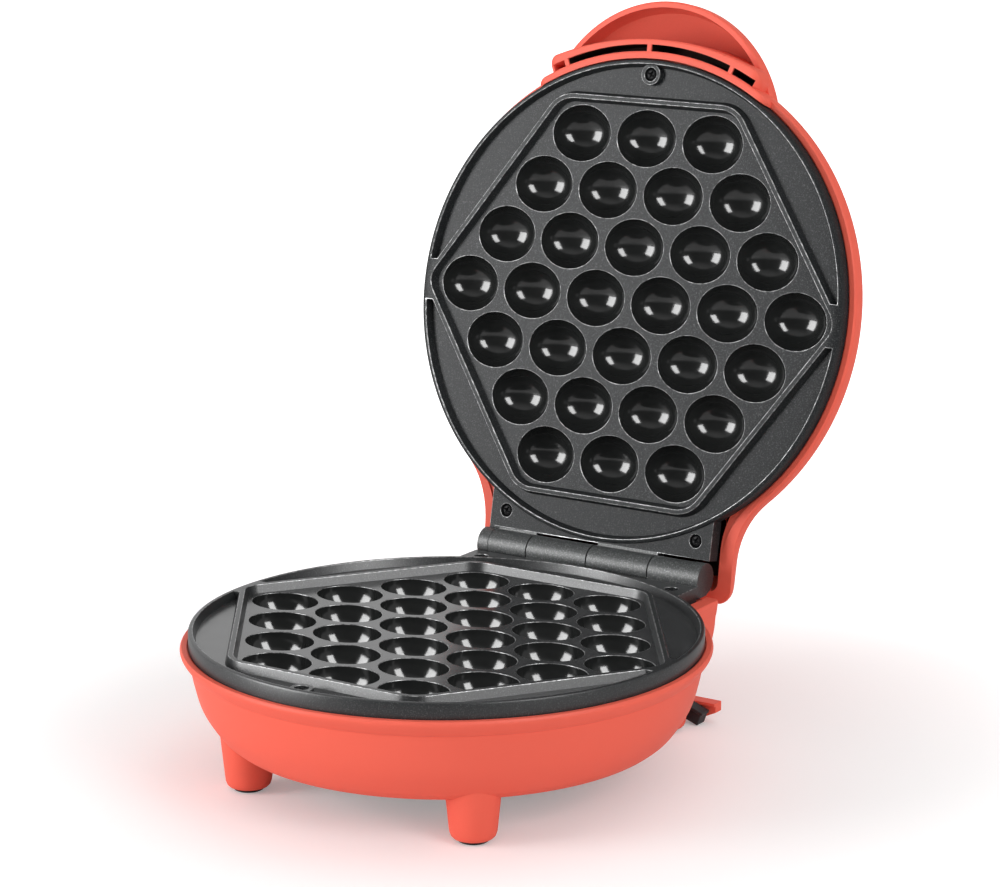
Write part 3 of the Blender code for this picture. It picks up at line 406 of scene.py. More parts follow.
def eased(levels, parts):
    """Puts more levels on a smooth curve through the given ones, never past them."""
    made = []
    last = len(levels) - 1
    for i in range(last):
        near = [levels[max(i - 1, 0)], levels[i], levels[i + 1], levels[min(i + 2, last)]]
        for k in range(parts):
            t = k / parts
            made.append(tuple(
                min(max(0.5 * (2 * b + (c - a) * t + (2 * a - 5 * b + 4 * c - d) * t * t
                               + (3 * b - a - 3 * c + d) * t ** 3), min(b, c)), max(b, c))
                for a, b, c, d in zip(*near)))
    return made + [levels[-1]]


def finished(made, name, body, slot_name, finishes, nodes=(), edge=0.0004, segments=2, pick=None,
             edge_finish=1, marked=False):
    """Sets a piece in its place with rounded edges, its finishes and the body it rides on. A
    pick says which finish each face takes, and marked rounds only the edges marked for it."""
    made.name = made.data.name = name
    chosen = [pick(face) for face in made.data.polygons] if pick else []
    made.data.transform(PLACES[body])
    made.data.materials.clear()
    for finish in finishes:
        made.data.materials.append(finish.material)
    for face in made.data.polygons:
        face.use_smooth = True
        face.material_index = chosen[face.index] if pick else 0
    shape = bmesh.new()
    shape.from_mesh(made.data)
    bmesh.ops.dissolve_degenerate(shape, dist=TINY_EDGE, edges=shape.edges)
    shape.to_mesh(made.data)
    shape.free()
    if edge:
        rounding = made.modifiers.new("rounding", "BEVEL")
        rounding.width = edge
        rounding.segments = segments
        rounding.limit_method = "WEIGHT" if marked else "ANGLE"
        rounding.angle_limit = SHARP_ANGLE
        rounding.harden_normals = True
        rounding.use_clamp_overlap = not marked
        if len(finishes) > 1:
            rounding.material = edge_finish
    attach(made, body)
    if nodes:
        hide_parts(*nodes)
    return made


coral = Finish("coral_shell", (0.90, 0.142, 0.094), 0.46, specular=0.10)
coral.tint((0.88, 0.134, 0.088), (0.92, 0.150, 0.100), 9.0, 3.0)
coral.roughen(0.42, 0.10, 60.0, 4.0)
coral.bump(coral.place.noise(2600.0, 2.0, 0.6), 0.10, 0.0001)

base_sizes = (LEDGE_DEPTH, BASE_DEPTH, HOUSING_RADIUS, BASE_NECK_HALF, BASE_NECK_REACH)
base = loft("base", necked_rings(eased(scaled(BASE_RIM, *base_sizes), 5)
                                 + eased(scaled(BASE_BOWL, *base_sizes), 5), 0.0015, 0.0020))
for _, x, y in LEG_PLACES:
    join(base, turned("leg", LEG_PROFILE, 48, (x, y)))
    carve(base, rod("pad_hole", *PAD_HOLE, FLOOR_DEPTH, 48, (x, y)))
cut_pocket(base, HINGE_REACH + 0.0066, TIGHT_FILLET)
base_back = BASE_NECK_REACH - WALL
hollow_levels = [(SEAT_DEPTH - 0.001, 0.0955, NECK_INNER_HALF - 0.0006, base_back - 0.0006),
                 (0.0210, 0.0930, NECK_INNER_HALF - 0.0006, base_back - 0.0010),
                 (0.0384, 0.0840, 0.0510, 0.0968)]
carve(base, loft("hollow", necked_rings(hollow_levels, TIGHT_FILLET, POCKET_ROUND)))
carve(base, turned("opening", BASE_OPENING, 96))
finished(base, "base_shell", "base", "shell_coral", [coral], ["base_housing"],
         edge=0.0006, segments=3)

# Foot pads. Soft rubber plugs pressed into the leg ends, with a thin ring standing proud that
# the cooker rests on.
PAD_PROFILE = ((0.0060, 0.0576), (0.0060, 0.0590), (0.0058, 0.0595), (0.0053, 0.0598),
               (0.0046, 0.0599), (0.0038, 0.0597), (0.0030, 0.0594))

rubber = Finish("pad_rubber", (0.018, 0.018, 0.018), 0.85, specular=0.3)
rubber.mottle((1800.0, 3.0), (0.014, 0.014, 0.014), (0.030, 0.030, 0.030), 0.78, 0.14,
              bump=(0.3, 0.0001))
for label, x, y in LEG_PLACES:
    finished(turned("pad", PAD_PROFILE, 48, (x, y)), "rubber_foot_" + label, "base",
             "pad_rubber", [rubber], ["foot_pad_" + label], edge=0.0)

# Lid housing. A deep dome of the same coral plastic with its own tail round the hinge tab.
# Two thin lips with vents between them lead to the half-moon grip moulded on its front.
LID_DEPTH = 0.0428
LID_NECK_HALF = 0.0603
LID_NECK_REACH = HINGE_REACH + 0.0102
NECK_SLOPE = ((0.0740, 0.0), (0.0880, 0.0007), (0.1020, 0.0019), (0.1240, 0.0042))
LID_FILLET = 0.0360
LID_LEVELS = (
    (0.000, 0.993, 0.992, 0.998), (0.039, 1.000, 1.000, 1.000), (0.131, 1.000, 0.998, 0.999),
    (0.227, 0.990, 0.978, 0.986), (0.377, 0.960, 0.924, 0.950), (0.540, 0.911, 0.846, 0.888),
    (0.705, 0.833, 0.746, 0.804), (0.835, 0.716, 0.632, 0.677), (0.928, 0.542, 0.484, 0.508),
    (0.971, 0.330, 0.290, 0.306), (0.984, 0.136, 0.120, 0.124))
SLOT_INNER = INNER_RADIUS + 0.0029
SLOT_OUTER = SLOT_INNER + 0.0029
LIP_REACH = SLOT_OUTER + 0.0022
LOWER_LIP = (INNER_RADIUS - OVERRUN, SLOT_INNER, math.radians(33.0), 0.0012, 0.0)
UPPER_LIP = (SLOT_INNER - 0.0010, LIP_REACH, math.radians(28.5), 0.0016, 0.0018)
LIP_ROUND = 0.0008
LIP_SKIRT = 0.0105
LIP_BOTTOM = 0.0240
LIP_FOOT = HOUSING_RADIUS * 0.885
LIP_END_ROUND = 0.0060
SLOT_TURN = math.radians(-1.4)
SLOT_ANGLE = math.radians(21.9)
SLOT_RIB = 0.0018
SLOT_END = 0.0125
SLOT_SHADE = 0.0026
NECK_SHADE = 0.0106
GRIP_RADIUS = 0.05576
GRIP_CENTRE = LIP_REACH + 0.0169 - 0.0560
GRIP_WALL = 0.0026
GRIP_START = 0.0100
GRIP_TOP = 0.0330
GRIP_LEAN = 0.0220
GRIP_LEVELS = ((0.000, 0.00, 0.986), (0.043, 0.00, 1.000), (0.217, 0.00, 1.000),
               (0.348, 0.05, 0.975), (0.520, 0.20, 0.900), (0.740, 0.52, 0.760),
               (1.000, 1.00, 0.580))
FINGER_LEVELS = ((-0.0020, 1.0, 0.0), (0.0030, 1.0, 0.0), (0.0070, 0.982, 0.0008),
                 (0.0105, 0.920, 0.0028), (0.0135, 0.800, 0.0058), (0.0155, 0.650, 0.0090))
FINGER_KEEP = (0.004, 0.028)
NECK_START = 0.080
TOUCH = 0.0001
LENS_PLACE = (0.0100, 0.0420)
LENS_HOLE = (0.0033, 0.035, 0.046)


def lip(inner, outer, half, crest, flare, steps=60):
    """Curved lip whose ends round down to the ledge and whose skirt runs into the dome."""
    end = LIP_END_ROUND / outer
    root = inner + OVERRUN * 0.35
    turns = [half - end + end * math.sin(math.pi / 2 * i / 10) for i in range(1, 11)]
    plain = [(half - end) * (2 * i / steps - 1) for i in range(steps + 1)]
    rings = []
    for turn in [-t for t in reversed(turns)] + plain + turns:
        beyond = max(abs(turn) - half + end, 0.0) / end
        fall = 1 - math.sqrt(max(1 - beyond * beyond, 0.0))
        top = crest + (LEDGE_DEPTH + 0.00075 - crest) * fall
        wide = outer + flare * (turn / half) ** 2
        reach = wide + (root - wide) * fall
        soft = min(LIP_ROUND, (reach - inner) / 2)
        front = turn - math.pi / 2
        section = ([(inner, top)]
                   + [(reach - soft + soft * math.sin(a), top + soft - soft * math.cos(a))
                      for a in (0.0, math.pi / 8, math.pi / 4, math.pi * 3 / 8, math.pi / 2)]
                   + [(reach, LIP_SKIRT), (LIP_FOOT, LIP_BOTTOM), (LIP_FOOT - WALL, LIP_BOTTOM)])
        rings.append([(r * math.cos(front), r * math.sin(front), z) for r, z in section])
    return loft("lip", rings)


def vent(start, end):
    front = (start + end) / 2 - math.pi / 2
    half = (end - start) / 2
    outline = arc((0.0, 0.0), SLOT_OUTER, front - half, front + half, 24)
    outline += arc((0.0, 0.0), SLOT_INNER, front + half, front - half, 24)
    return loft("vent", [[(x, y, z) for x, y in outline] for z in (-0.002, SLOT_SHADE, SLOT_END)])


def disc_ring(radius, depth, centre, sides=140):
    return [(x, y + centre, depth) for x, y in arc((0, 0), radius, 0, math.tau, sides)[:-1]]


fine_levels = eased(scaled(LID_LEVELS, LEDGE_DEPTH, LID_DEPTH, HOUSING_RADIUS, LID_NECK_HALF,
                           LID_NECK_REACH), 5)
lid = loft("lid", necked_rings(fine_levels, LID_FILLET, 0.0060))
slope_line = [(y, LEDGE_DEPTH + fall) for y, fall in eased(NECK_SLOPE, 6)]
slope_line += [(NECK_SLOPE[-1][0], -0.004), (NECK_SLOPE[0][0], -0.004)]
carve(lid, loft("slope", [[(x, y, z) for y, z in slope_line] for x in (-0.12, 0.12)]))
grip_levels = eased([(GRIP_START + (GRIP_TOP - GRIP_START) * depth,
                      GRIP_LEAN * lean - GRIP_CENTRE, GRIP_RADIUS * radius)
                     for depth, lean, radius in GRIP_LEVELS], 5)
join(lid, loft("grip", [disc_ring(radius, depth, centre)
                        for depth, centre, radius in grip_levels]))
join(lid, lip(*LOWER_LIP))
join(lid, lip(*UPPER_LIP))
lid_back = LID_NECK_REACH - WALL
cut_pocket(lid, lid_back, LID_FILLET)
room_levels = [(SEAT_DEPTH - 0.001, 0.0955, NECK_INNER_HALF - 0.0006, lid_back - 0.0006),
               (0.0200, 0.0930, 0.0520, 0.1080), (0.0300, 0.0800, 0.0440, 0.0920),
               (0.0350, 0.0680, 0.0360, 0.0760), (0.0395, 0.0300, 0.0160, 0.0340)]
carve(lid, loft("room", necked_rings(room_levels, LID_FILLET, 0.0040)))
slot_ends = [-UPPER_LIP[2] + SLOT_RIB / SLOT_INNER, SLOT_TURN - SLOT_ANGLE, SLOT_TURN,
             SLOT_TURN + SLOT_ANGLE, UPPER_LIP[2] - SLOT_RIB / SLOT_INNER]
rib = SLOT_RIB / 2 / SLOT_INNER
for start, end in zip(slot_ends[:-1], slot_ends[1:]):
    carve(lid, vent(start + rib, end - rib))
grip_inner = GRIP_RADIUS - GRIP_WALL
finger_pocket = loft("fingers", [disc_ring(grip_inner * share, GRIP_START + depth,
                                           lean - GRIP_CENTRE)
                                 for depth, share, lean in FINGER_LEVELS])
carve(finger_pocket, rod("keep", LIP_REACH + 0.0005, *FINGER_KEEP, 200))
carve(lid, finger_pocket)
for x in (-LENS_PLACE[0], LENS_PLACE[0]):
    carve(lid, rod("lens_hole", *LENS_HOLE, 40, (x, LENS_PLACE[1])))


def part_of_lid(face):
    """Which finish a face takes: 0 shell, 1 near-black painted shade deep in a vent or the hinge
    pocket, 2 grained coral darkened as painted shade in the finger pocket.
    """
    x, y, z = face.center
    if NECK_START < y < lid_back + TOUCH and abs(x) < NECK_INNER_HALF - TOUCH:
        return 1 if face.normal.z < -0.5 and z > NECK_SHADE or face.normal.y < -0.9 else 0
    reach, turn = math.hypot(x, y), math.atan2(x, -y)
    if (LIP_REACH + 0.0002 < reach and y < 0 and GRIP_START + 0.0004 < z < GRIP_TOP - 0.0060
            and math.hypot(x, y + GRIP_CENTRE) < grip_inner + 0.0003):
        inward = x * face.normal.x + (y + GRIP_CENTRE) * face.normal.y < -0.003
        return 2 if inward or face.normal.z < -0.4 else 0
    if not (slot_ends[1] < turn < slot_ends[-1] - rib and SLOT_SHADE < z < SLOT_END + TOUCH):
        return 0
    return 1 if SLOT_INNER - TOUCH < reach < SLOT_OUTER + TOUCH else 0


# Painted shade: the deep walls of the vents and of the hinge pocket are coral plastic lying in
# shade, drawn here as a near-black finish.
painted_shade = Finish("vent_painted_shade", (0.022, 0.008, 0.007), 0.8, specular=0.1)
painted_shade.tint((0.016, 0.006, 0.005), (0.030, 0.010, 0.008), 300.0, 2.0)
painted_shade.roughen(0.74, 0.12, 900.0, 2.0)
# Painted shade: the inside of the finger pocket takes a darker coral for the shade that falls
# there. Its grain bump and rougher surface are the plastic's own.
grained_painted_shade = Finish("coral_grained_painted_shade", (0.66, 0.122, 0.084), 0.62, specular=0.08)
grained_painted_shade.mottle((1400.0, 3.0, 0.65), (0.62, 0.112, 0.076), (0.70, 0.132, 0.092), 0.56, 0.12,
               bump=(0.25, 0.0001))
finished(lid, "lid_shell", "lid", "shell_coral", [coral, painted_shade, grained_painted_shade], ["lid_housing"],
         edge=0.0007, segments=3, edge_finish=0, pick=part_of_lid)

# Cooking plates. Two thick aluminium castings with a dark non-stick coat, each with thirty oval
# cups inside a raised six-sided ridge, two sunk arches, and barrels that share the hinge pin.
PLATE_DEPTH = 0.0074
PLATE_EDGE = 0.0009
WORN_WIDTH = 0.00026
RIM_WIDTH = 0.0018
RECESS_DEPTH = 0.0034
DRAFT = 0.0012
RIDGE_WIDTH = 0.0020
CUP_PITCH = 0.03135
ROW_PITCH = CUP_PITCH * 0.7196
CUP_HALF = (0.0140, 0.0117, 0.0122)
CUP_ROWS = (3, 4, 5, 6, 5, 4, 3)
HEX_SLOPE = math.atan2(ROW_PITCH, CUP_PITCH / 2)
HEX_LENGTH = PLATE_RADIUS + 0.0006
HEX_HEIGHT = 0.0838
TIP_GAP = 0.0088
TAB_HALF = 0.0535
TAB_START = 0.060
TAB_DROP = 0.0010
TAB_END = HINGE_REACH - 0.0073
BARREL_RADIUS = 0.0064
EAR_RADIUS = 0.0066
EAR_WIDTH = 0.0050
KNUCKLE_REACH = 0.0294
BORE_RADIUS = 0.0023
BORE_END = 0.0010
SCREW_PLACES = ((-0.0460, TAB_END - 0.0073, TAB_DROP), (0.0460, TAB_END - 0.0073, TAB_DROP),
                (0.0, 0.0060 - PLATE_RADIUS, 0.0009))
BOSS_RADIUS = 0.0044
SHORT_EDGE = 0.0003
BACK_RISE = ((0.0036, PLATE_DEPTH - OVERRUN), (0.0036, 0.0123), (0.0079, 0.0172))
HOLE_RADIUS = 0.0028
HOLE_SEAT = 0.0023
SHANK_HOLE = (0.0017, 0.0094)
BOTH_HALVES = (("lower", "base"), ("upper", "lid"))


def six_sided(name, levels, steps=10):
    """Body over the long six-sided outline, moved in by an inset at each depth."""
    rings = []
    for inset, depth in levels:
        length = HEX_LENGTH - inset / math.sin(HEX_SLOPE)
        height = HEX_HEIGHT - inset
        flat = length - height / math.tan(HEX_SLOPE)
        corners = [(length, 0.0), (flat, height), (-flat, height),
                   (-length, 0.0), (-flat, -height), (flat, -height)]
        rounds = [max(r - inset, r * 0.15) for r in (0.0100, 0.0140, 0.0140) * 2]
        ring = []
        for i, corner in enumerate(corners):
            here = Vector(corner)
            back = (Vector(corners[i - 1]) - here).normalized()
            on = (Vector(corners[(i + 1) % 6]) - here).normalized()
            half = back.angle(on) / 2
            run = rounds[i] / math.tan(half)
            centre = here + (back + on).normalized() * (rounds[i] / math.sin(half))
            first, last = here + back * run - centre, here + on * run - centre
            turn = first.angle_signed(last)
            ring += [tuple(centre + Matrix.Rotation(-turn * k / steps, 2) @ first) + (depth,)
                     for k in range(steps + 1)]
        rings.append(ring)
    return loft(name, rings)


def across(name, start, end, radius, sides=48):
    """Round bar on the hinge axis, from one place across the cooker to another."""
    shape = bmesh.new()
    bmesh.ops.create_cone(shape, cap_ends=True, segments=sides, radius1=radius, radius2=radius,
                          depth=end - start)
    bmesh.ops.rotate(shape, verts=shape.verts, matrix=Matrix.Rotation(math.pi / 2, 3, "Y"))
    bmesh.ops.translate(shape, verts=shape.verts, vec=((start + end) / 2, HINGE_REACH, -HALF_GAP))
    return raw(name, shape)


def barrel(start, end, radius):
    """One hinge barrel with the root that joins it to the tab."""
    root = block("root", (start, TAB_END - OVERRUN, TAB_DROP),
                 (end, HINGE_REACH + radius * 0.2, PLATE_DEPTH - TAB_DROP * radius / BARREL_RADIUS))
    return join(across("barrel", start, end, radius), root)


def cooking_plate():
    shoulder = PLATE_RADIUS - PLATE_EDGE
    made = turned("plate", [
        (shoulder, PLATE_DEPTH), (PLATE_RADIUS, PLATE_DEPTH - PLATE_EDGE),
        (PLATE_RADIUS, PLATE_EDGE), (PLATE_RADIUS - WORN_WIDTH, WORN_WIDTH), (shoulder, 0.0)], 220)
    join(made, block("tab", (-TAB_HALF, TAB_START, TAB_DROP), (TAB_HALF, TAB_END, PLATE_DEPTH)))
    join(made, barrel(SEAT_GAP, KNUCKLE_REACH - SEAT_GAP, BARREL_RADIUS))
    join(made, barrel(EAR_WIDTH / 2 - TAB_HALF, -KNUCKLE_REACH - SEAT_GAP, BARREL_RADIUS))
    join(made, barrel(-TAB_HALF, EAR_WIDTH - TAB_HALF, EAR_RADIUS))
    rim = PLATE_RADIUS - RIM_WIDTH
    arches = turned("arches", [(rim, -OVERRUN), (rim, 0.0), (rim - DRAFT, RECESS_DEPTH)], 220)
    carve(arches, block("tips", (-0.12, -TIP_GAP, -0.01), (0.12, TIP_GAP, 0.01)))
    carve(arches, six_sided("ridge", [(0.0, -0.01), (0.0, 0.0), (-DRAFT, RECESS_DEPTH),
                                      (-DRAFT, 0.01)]))
    carve(made, arches)
    carve(made, six_sided("floor", [(RIDGE_WIDTH, -OVERRUN), (RIDGE_WIDTH, 0.0),
                                    (RIDGE_WIDTH + DRAFT, RECESS_DEPTH)]))
    join(made, six_sided("back", BACK_RISE, 4))
    cups = bmesh.new()
    rows = len(CUP_ROWS)
    for row, count in enumerate(CUP_ROWS):
        for i in range(count):
            spot = Vector(((i - (count - 1) / 2) * CUP_PITCH, (row - (rows - 1) / 2) * ROW_PITCH,
                           RECESS_DEPTH))
            bmesh.ops.create_uvsphere(cups, u_segments=56, v_segments=36, radius=1.0,
                                      matrix=Matrix.Translation(spot)
                                      @ Matrix.Diagonal((*CUP_HALF, 1.0)))
    carve(made, raw("cups", cups))
    join(made, rod("boss", BOSS_RADIUS, SCREW_PLACES[2][2], PLATE_DEPTH - OVERRUN, 40,
                   SCREW_PLACES[2][:2]))
    for x, y, drop in SCREW_PLACES:
        seat = drop + HOLE_SEAT
        carve(made, turned("hole", [(HOLE_RADIUS, drop - OVERRUN), (HOLE_RADIUS, seat),
                                    (SHANK_HOLE[0], seat), SHANK_HOLE], 40, (x, y)))
    carve(made, across("bore", BORE_END - TAB_HALF, TAB_HALF - BORE_END, BORE_RADIUS))
    return made


def mark_edges(made):
    """Marks a casting's sharp edges, and weights those of its face that wear bright."""
    shape = bmesh.new()
    shape.from_mesh(made.data)
    bmesh.ops.dissolve_degenerate(shape, dist=TINY_EDGE, edges=shape.edges)
    weight = shape.edges.layers.float.new("bevel_weight_edge")
    for edge in shape.edges:
        if len(edge.link_faces) != 2 or edge.calc_face_angle() < SHARP_ANGLE:
            continue
        worn = edge.is_convex and any(
            max(abs(vert.co.z - level) for vert in edge.verts) < TINY_EDGE
            for level in (0.0, RECESS_DEPTH, TAB_DROP, SCREW_PLACES[2][2]))
        if worn and edge.calc_length() > SHORT_EDGE:
            edge[weight] = 1.0
        else:
            edge.smooth = False
    shape.to_mesh(made.data)
    shape.free()
    return made


def part_of_plate(face):
    """Which finish a face of the casting takes: 0 coat, 2 sunk floor, 3 cup, 4 barrel."""
    spot = face.center
    if math.hypot(spot.y - HINGE_REACH, spot.z + HALF_GAP) < EAR_RADIUS + 0.0002:
        return 0 if abs(spot.x) > TAB_HALF - 0.0003 else 4
    if abs(spot.z - RECESS_DEPTH) < TINY_EDGE and abs(face.normal.z) > 0.9:
        return 2
    if spot.z <= RECESS_DEPTH or face.normal.z > -0.01 and spot.z > PLATE_DEPTH:
        return 0
    last = len(CUP_ROWS) - 1
    place = spot.y / ROW_PITCH + last / 2
    for row in (math.floor(place), math.ceil(place)):
        row = min(max(row, 0), last)
        shift = (CUP_ROWS[row] - 1) / 2
        column = min(max(round(spot.x / CUP_PITCH + shift), 0), CUP_ROWS[row] - 1)
        away = Vector(((spot.x - (column - shift) * CUP_PITCH) / CUP_HALF[0],
                       (spot.y - (row - last / 2) * ROW_PITCH) / CUP_HALF[1],
                       (spot.z - RECESS_DEPTH) / CUP_HALF[2]))
        if 0.9 < away.length < 1.02:
            return 3
    return 0


def coating(name, gloss):
    """Dark non-stick coat with fine flecks."""
    coat = Finish(name, (0.028, 0.029, 0.030), 0.36, specular=gloss)
    coat.mottle((2200.0, 2.0, 0.7), (0.018, 0.0195, 0.0205), (0.085, 0.088, 0.090), 0.28, 0.14,
                (0.50, 0.76), (0.22, 0.0001))
    return coat


lower_coat = coating("plate_coating", 0.50)
upper_coat = coating("plate_coating_matt", 0.09)
worn_edge = Finish("plate_worn_edge", (0.20, 0.202, 0.204), 0.26, 0.55, specular=0.35)
worn_edge.mottle((420.0, 3.0, 0.7), (0.12, 0.122, 0.123), (0.36, 0.36, 0.363), 0.20, 0.18,
                 (0.40, 0.66))
grainy = Finish("plate_grainy_floor", (0.030, 0.031, 0.032), 0.30, specular=0.075)
grainy.mottle((1700.0, 3.0, 0.75), (0.017, 0.0185, 0.0195), (0.085, 0.088, 0.091), 0.18, 0.14,
              (0.50, 0.72), (0.24, 0.00015))
sleek = Finish("plate_sleek_floor", (0.030, 0.031, 0.032), 0.20, specular=0.62)
sleek.mottle((130.0, 3.0), (0.038, 0.039, 0.040), (0.050, 0.051, 0.052), 0.15, 0.12)
glossy_cup = Finish("plate_cup", (0.019, 0.020, 0.0197), 0.12)
glossy_cup.mottle((220.0, 2.0), (0.016, 0.017, 0.0167), (0.022, 0.023, 0.0227), 0.10, 0.06,
                  bump=(0.04, 0.0002))
cast_barrel = Finish("plate_barrel", (0.075, 0.078, 0.078), 0.42)
cast_barrel.mottle((1500.0, 3.0, 0.8), (0.040, 0.043, 0.043), (0.19, 0.20, 0.20), 0.34, 0.18,
                   (0.48, 0.72), (0.38, 0.00015))

lower_plate = mark_edges(cooking_plate())
upper_plate = add("plate", lower_plate.data.copy())
for (side, body), made, coat, level in zip(
        BOTH_HALVES, (lower_plate, upper_plate), (lower_coat, upper_coat), (sleek, grainy)):
    finished(made, side + "_cooking_plate", body, "plate_coating",
             [coat, worn_edge, level, glossy_cup, cast_barrel], [side + "_plate"], edge=WORN_WIDTH,
             segments=3, pick=part_of_plate, marked=True)

# Plate screws. Black cross-head screws hold each casting down to its housing, two through the
# hinge tab and one through the boss at the front, with their heads sunk below the surface.
HEAD_RADIUS = 0.0025
HEAD_HEIGHT = 0.0015
SHANK_RADIUS = 0.0014
SCREW_LENGTH = 0.0150
SCREW_SINK = 0.0005
HEAD_DOME = ((0.45, 0.0), (0.70, 0.06), (0.88, 0.24), (0.97, 0.50), (1.0, 1.0))
CROSS_CUT = ((-0.0004, 0.70, 0.17), (0.0004, 0.62, 0.14), (0.0011, 0.25, 0.08))


def cross_screw(x, y, top, length, flip=1.0, turn=0.4):
    """Cross-head screw with its domed head at one depth and its shank beyond it."""
    height = HEAD_HEIGHT * flip
    profile = [(HEAD_RADIUS * share, top + height * part) for share, part in HEAD_DOME]
    if length:
        neck, tip = top + height, top + height + length * flip
        profile += [(SHANK_RADIUS, neck), (SHANK_RADIUS, neck + (tip - neck) * 0.96),
                    (SHANK_RADIUS * 0.6, tip)]
    made = turned("screw", profile, 40, (x, y))
    for quarter in (0, 1):
        spin = Matrix.Rotation(turn + quarter * math.pi / 2, 2)
        rings = []
        for depth, long, wide in CROSS_CUT:
            rings.append([tuple(spin @ Vector((HEAD_RADIUS * long * sx, HEAD_RADIUS * wide * sy))
                                + Vector((x, y))) + (top + depth * flip,)
                          for sx, sy in ((1, 1), (-1, 1), (-1, -1), (1, -1))])
        carve(made, loft("cross", rings))
    return made


black_steel = Finish("screw_black", (0.008, 0.008, 0.009), 0.44, specular=0.12)
black_steel.mottle((1500.0, 2.0), (0.005, 0.005, 0.006), (0.026, 0.026, 0.028), 0.34, 0.2,
                   (0.52, 0.78))
for side, body in BOTH_HALVES:
    labels = ("left", "right") if side == "upper" else ("right", "left")
    for label, (x, y, drop) in zip(labels + ("front",), SCREW_PLACES):
        node = side + "_plate_screw_" + label
        finished(cross_screw(x, y, drop + SCREW_SINK, SCREW_LENGTH), side + "_cross_screw_" + label,
                 body, "screw_black", [black_steel], [node], edge=0.0)

# Hinge pin. A blackened steel rod pushed through the barrels of both plates. Its bore is closed
# over at the outer ears, so nothing of it shows.
PIN_RADIUS = 0.0020
PIN_REACH = TAB_HALF - BORE_END - 0.0004

pin_black = Finish("pin_steel", (0.050, 0.050, 0.052), 0.38, 0.5)
pin_black.mottle((900.0, 2.0), (0.035, 0.035, 0.037), (0.075, 0.075, 0.078), 0.30, 0.2)
finished(across("pin", -PIN_REACH, PIN_REACH, PIN_RADIUS), "hinge_rod", "base",
         "pin_steel", [pin_black], ["hinge_pin"], edge=0.0004, segments=3)

# Heating tubes. A steel-sheathed element bent to an open ring under each plate. Both ends run
# to the hinge side, sealed with ceramic beads round thin terminal pins.
TUBE_RADIUS = 0.0032
TUBE_DEPTH = 0.0207
TUBE_LOOP = PLATE_RADIUS - 0.0400
TUBE_OPENING = math.radians(14.0)
TUBE_TAIL = 0.0140
BEAD_RADIUS = 0.0026
BEAD_END = 0.0050
TERMINAL_RADIUS = 0.0011
TERMINAL_END = 0.0030


def bent_tube(name, path, depth):
    """Round tube along a flat path of (x, y, radius) places."""
    rings = []
    for i, (x, y, radius) in enumerate(path):
        before, after = path[max(i - 1, 0)], path[min(i + 1, len(path) - 1)]
        along = Vector((after[0] - before[0], after[1] - before[1])).normalized()
        rings.append([(x + along.y * radius * u, y - along.x * radius * u, depth + radius * v)
                      for u, v in arc((0.0, 0.0), 1.0, 0.0, math.tau, 24)[:-1]])
    return loft(name, rings)


def heating_tube():
    """Ring with bent tails, drawn from one end round to the other."""
    bend = math.pi / 2 + TUBE_OPENING + math.radians(9.0)
    ring = arc((0.0, 0.0), TUBE_LOOP, bend, math.pi * 3 - bend, 96)
    side, root = TUBE_LOOP * math.sin(TUBE_OPENING), TUBE_LOOP * math.cos(TUBE_OPENING)
    start, corner = (-side, root + 0.0070), (-side, root + 0.0008)
    curve = [tuple(start[k] * (1 - t) ** 2 + corner[k] * 2 * t * (1 - t) + ring[0][k] * t * t
                   for k in (0, 1)) for t in (i / 10 for i in range(10))]
    top = root + TUBE_TAIL
    tail = [(-side, top, TERMINAL_RADIUS), (-side, top - TERMINAL_END, TERMINAL_RADIUS),
            (-side, top - TERMINAL_END, BEAD_RADIUS), (-side, top - BEAD_END, BEAD_RADIUS),
            (-side, top - BEAD_END - 0.0002, TUBE_RADIUS)]
    left = tail + [(x, y, TUBE_RADIUS) for x, y in curve]
    right = [(-x, y, radius) for x, y, radius in reversed(left)]
    return bent_tube("tube", left + [(x, y, TUBE_RADIUS) for x, y in ring] + right, TUBE_DEPTH)


def part_of_tube(face):
    """Which finish a face of the tube takes: 0 sheath, 1 ceramic bead, 2 terminal pin."""
    end = TUBE_LOOP * math.cos(TUBE_OPENING) + TUBE_TAIL - face.center.y
    return 2 if end < TERMINAL_END - TOUCH else 1 if end < BEAD_END + TOUCH else 0


sheath = Finish("element_sheath", (0.20, 0.19, 0.18), 0.5, 0.9)
sheath.mottle((90.0, 3.0), (0.13, 0.115, 0.105), (0.27, 0.25, 0.23), 0.38, 0.24)
sheath.bump(sheath.place.noise(900.0, 2.0), 0.15, 0.0001)
ceramic = Finish("block_ceramic", (0.78, 0.76, 0.70), 0.55)
ceramic.mottle((300.0, 3.0), (0.72, 0.70, 0.64), (0.82, 0.80, 0.75), 0.46, 0.16)
ceramic.bump(ceramic.place.noise(1400.0, 2.0), 0.2, 0.0001)
plated = Finish("terminal_plated", (0.55, 0.53, 0.48), 0.30, 1.0)
plated.roughen(0.22, 0.2, 700.0, 3.0)
for side, body in BOTH_HALVES:
    finished(heating_tube(), side + "_heating_ring", body, "element_sheath",
             [sheath, ceramic, plated], [side + "_heating_tube"], edge=0.0002,
             edge_finish=-1, pick=part_of_tube)

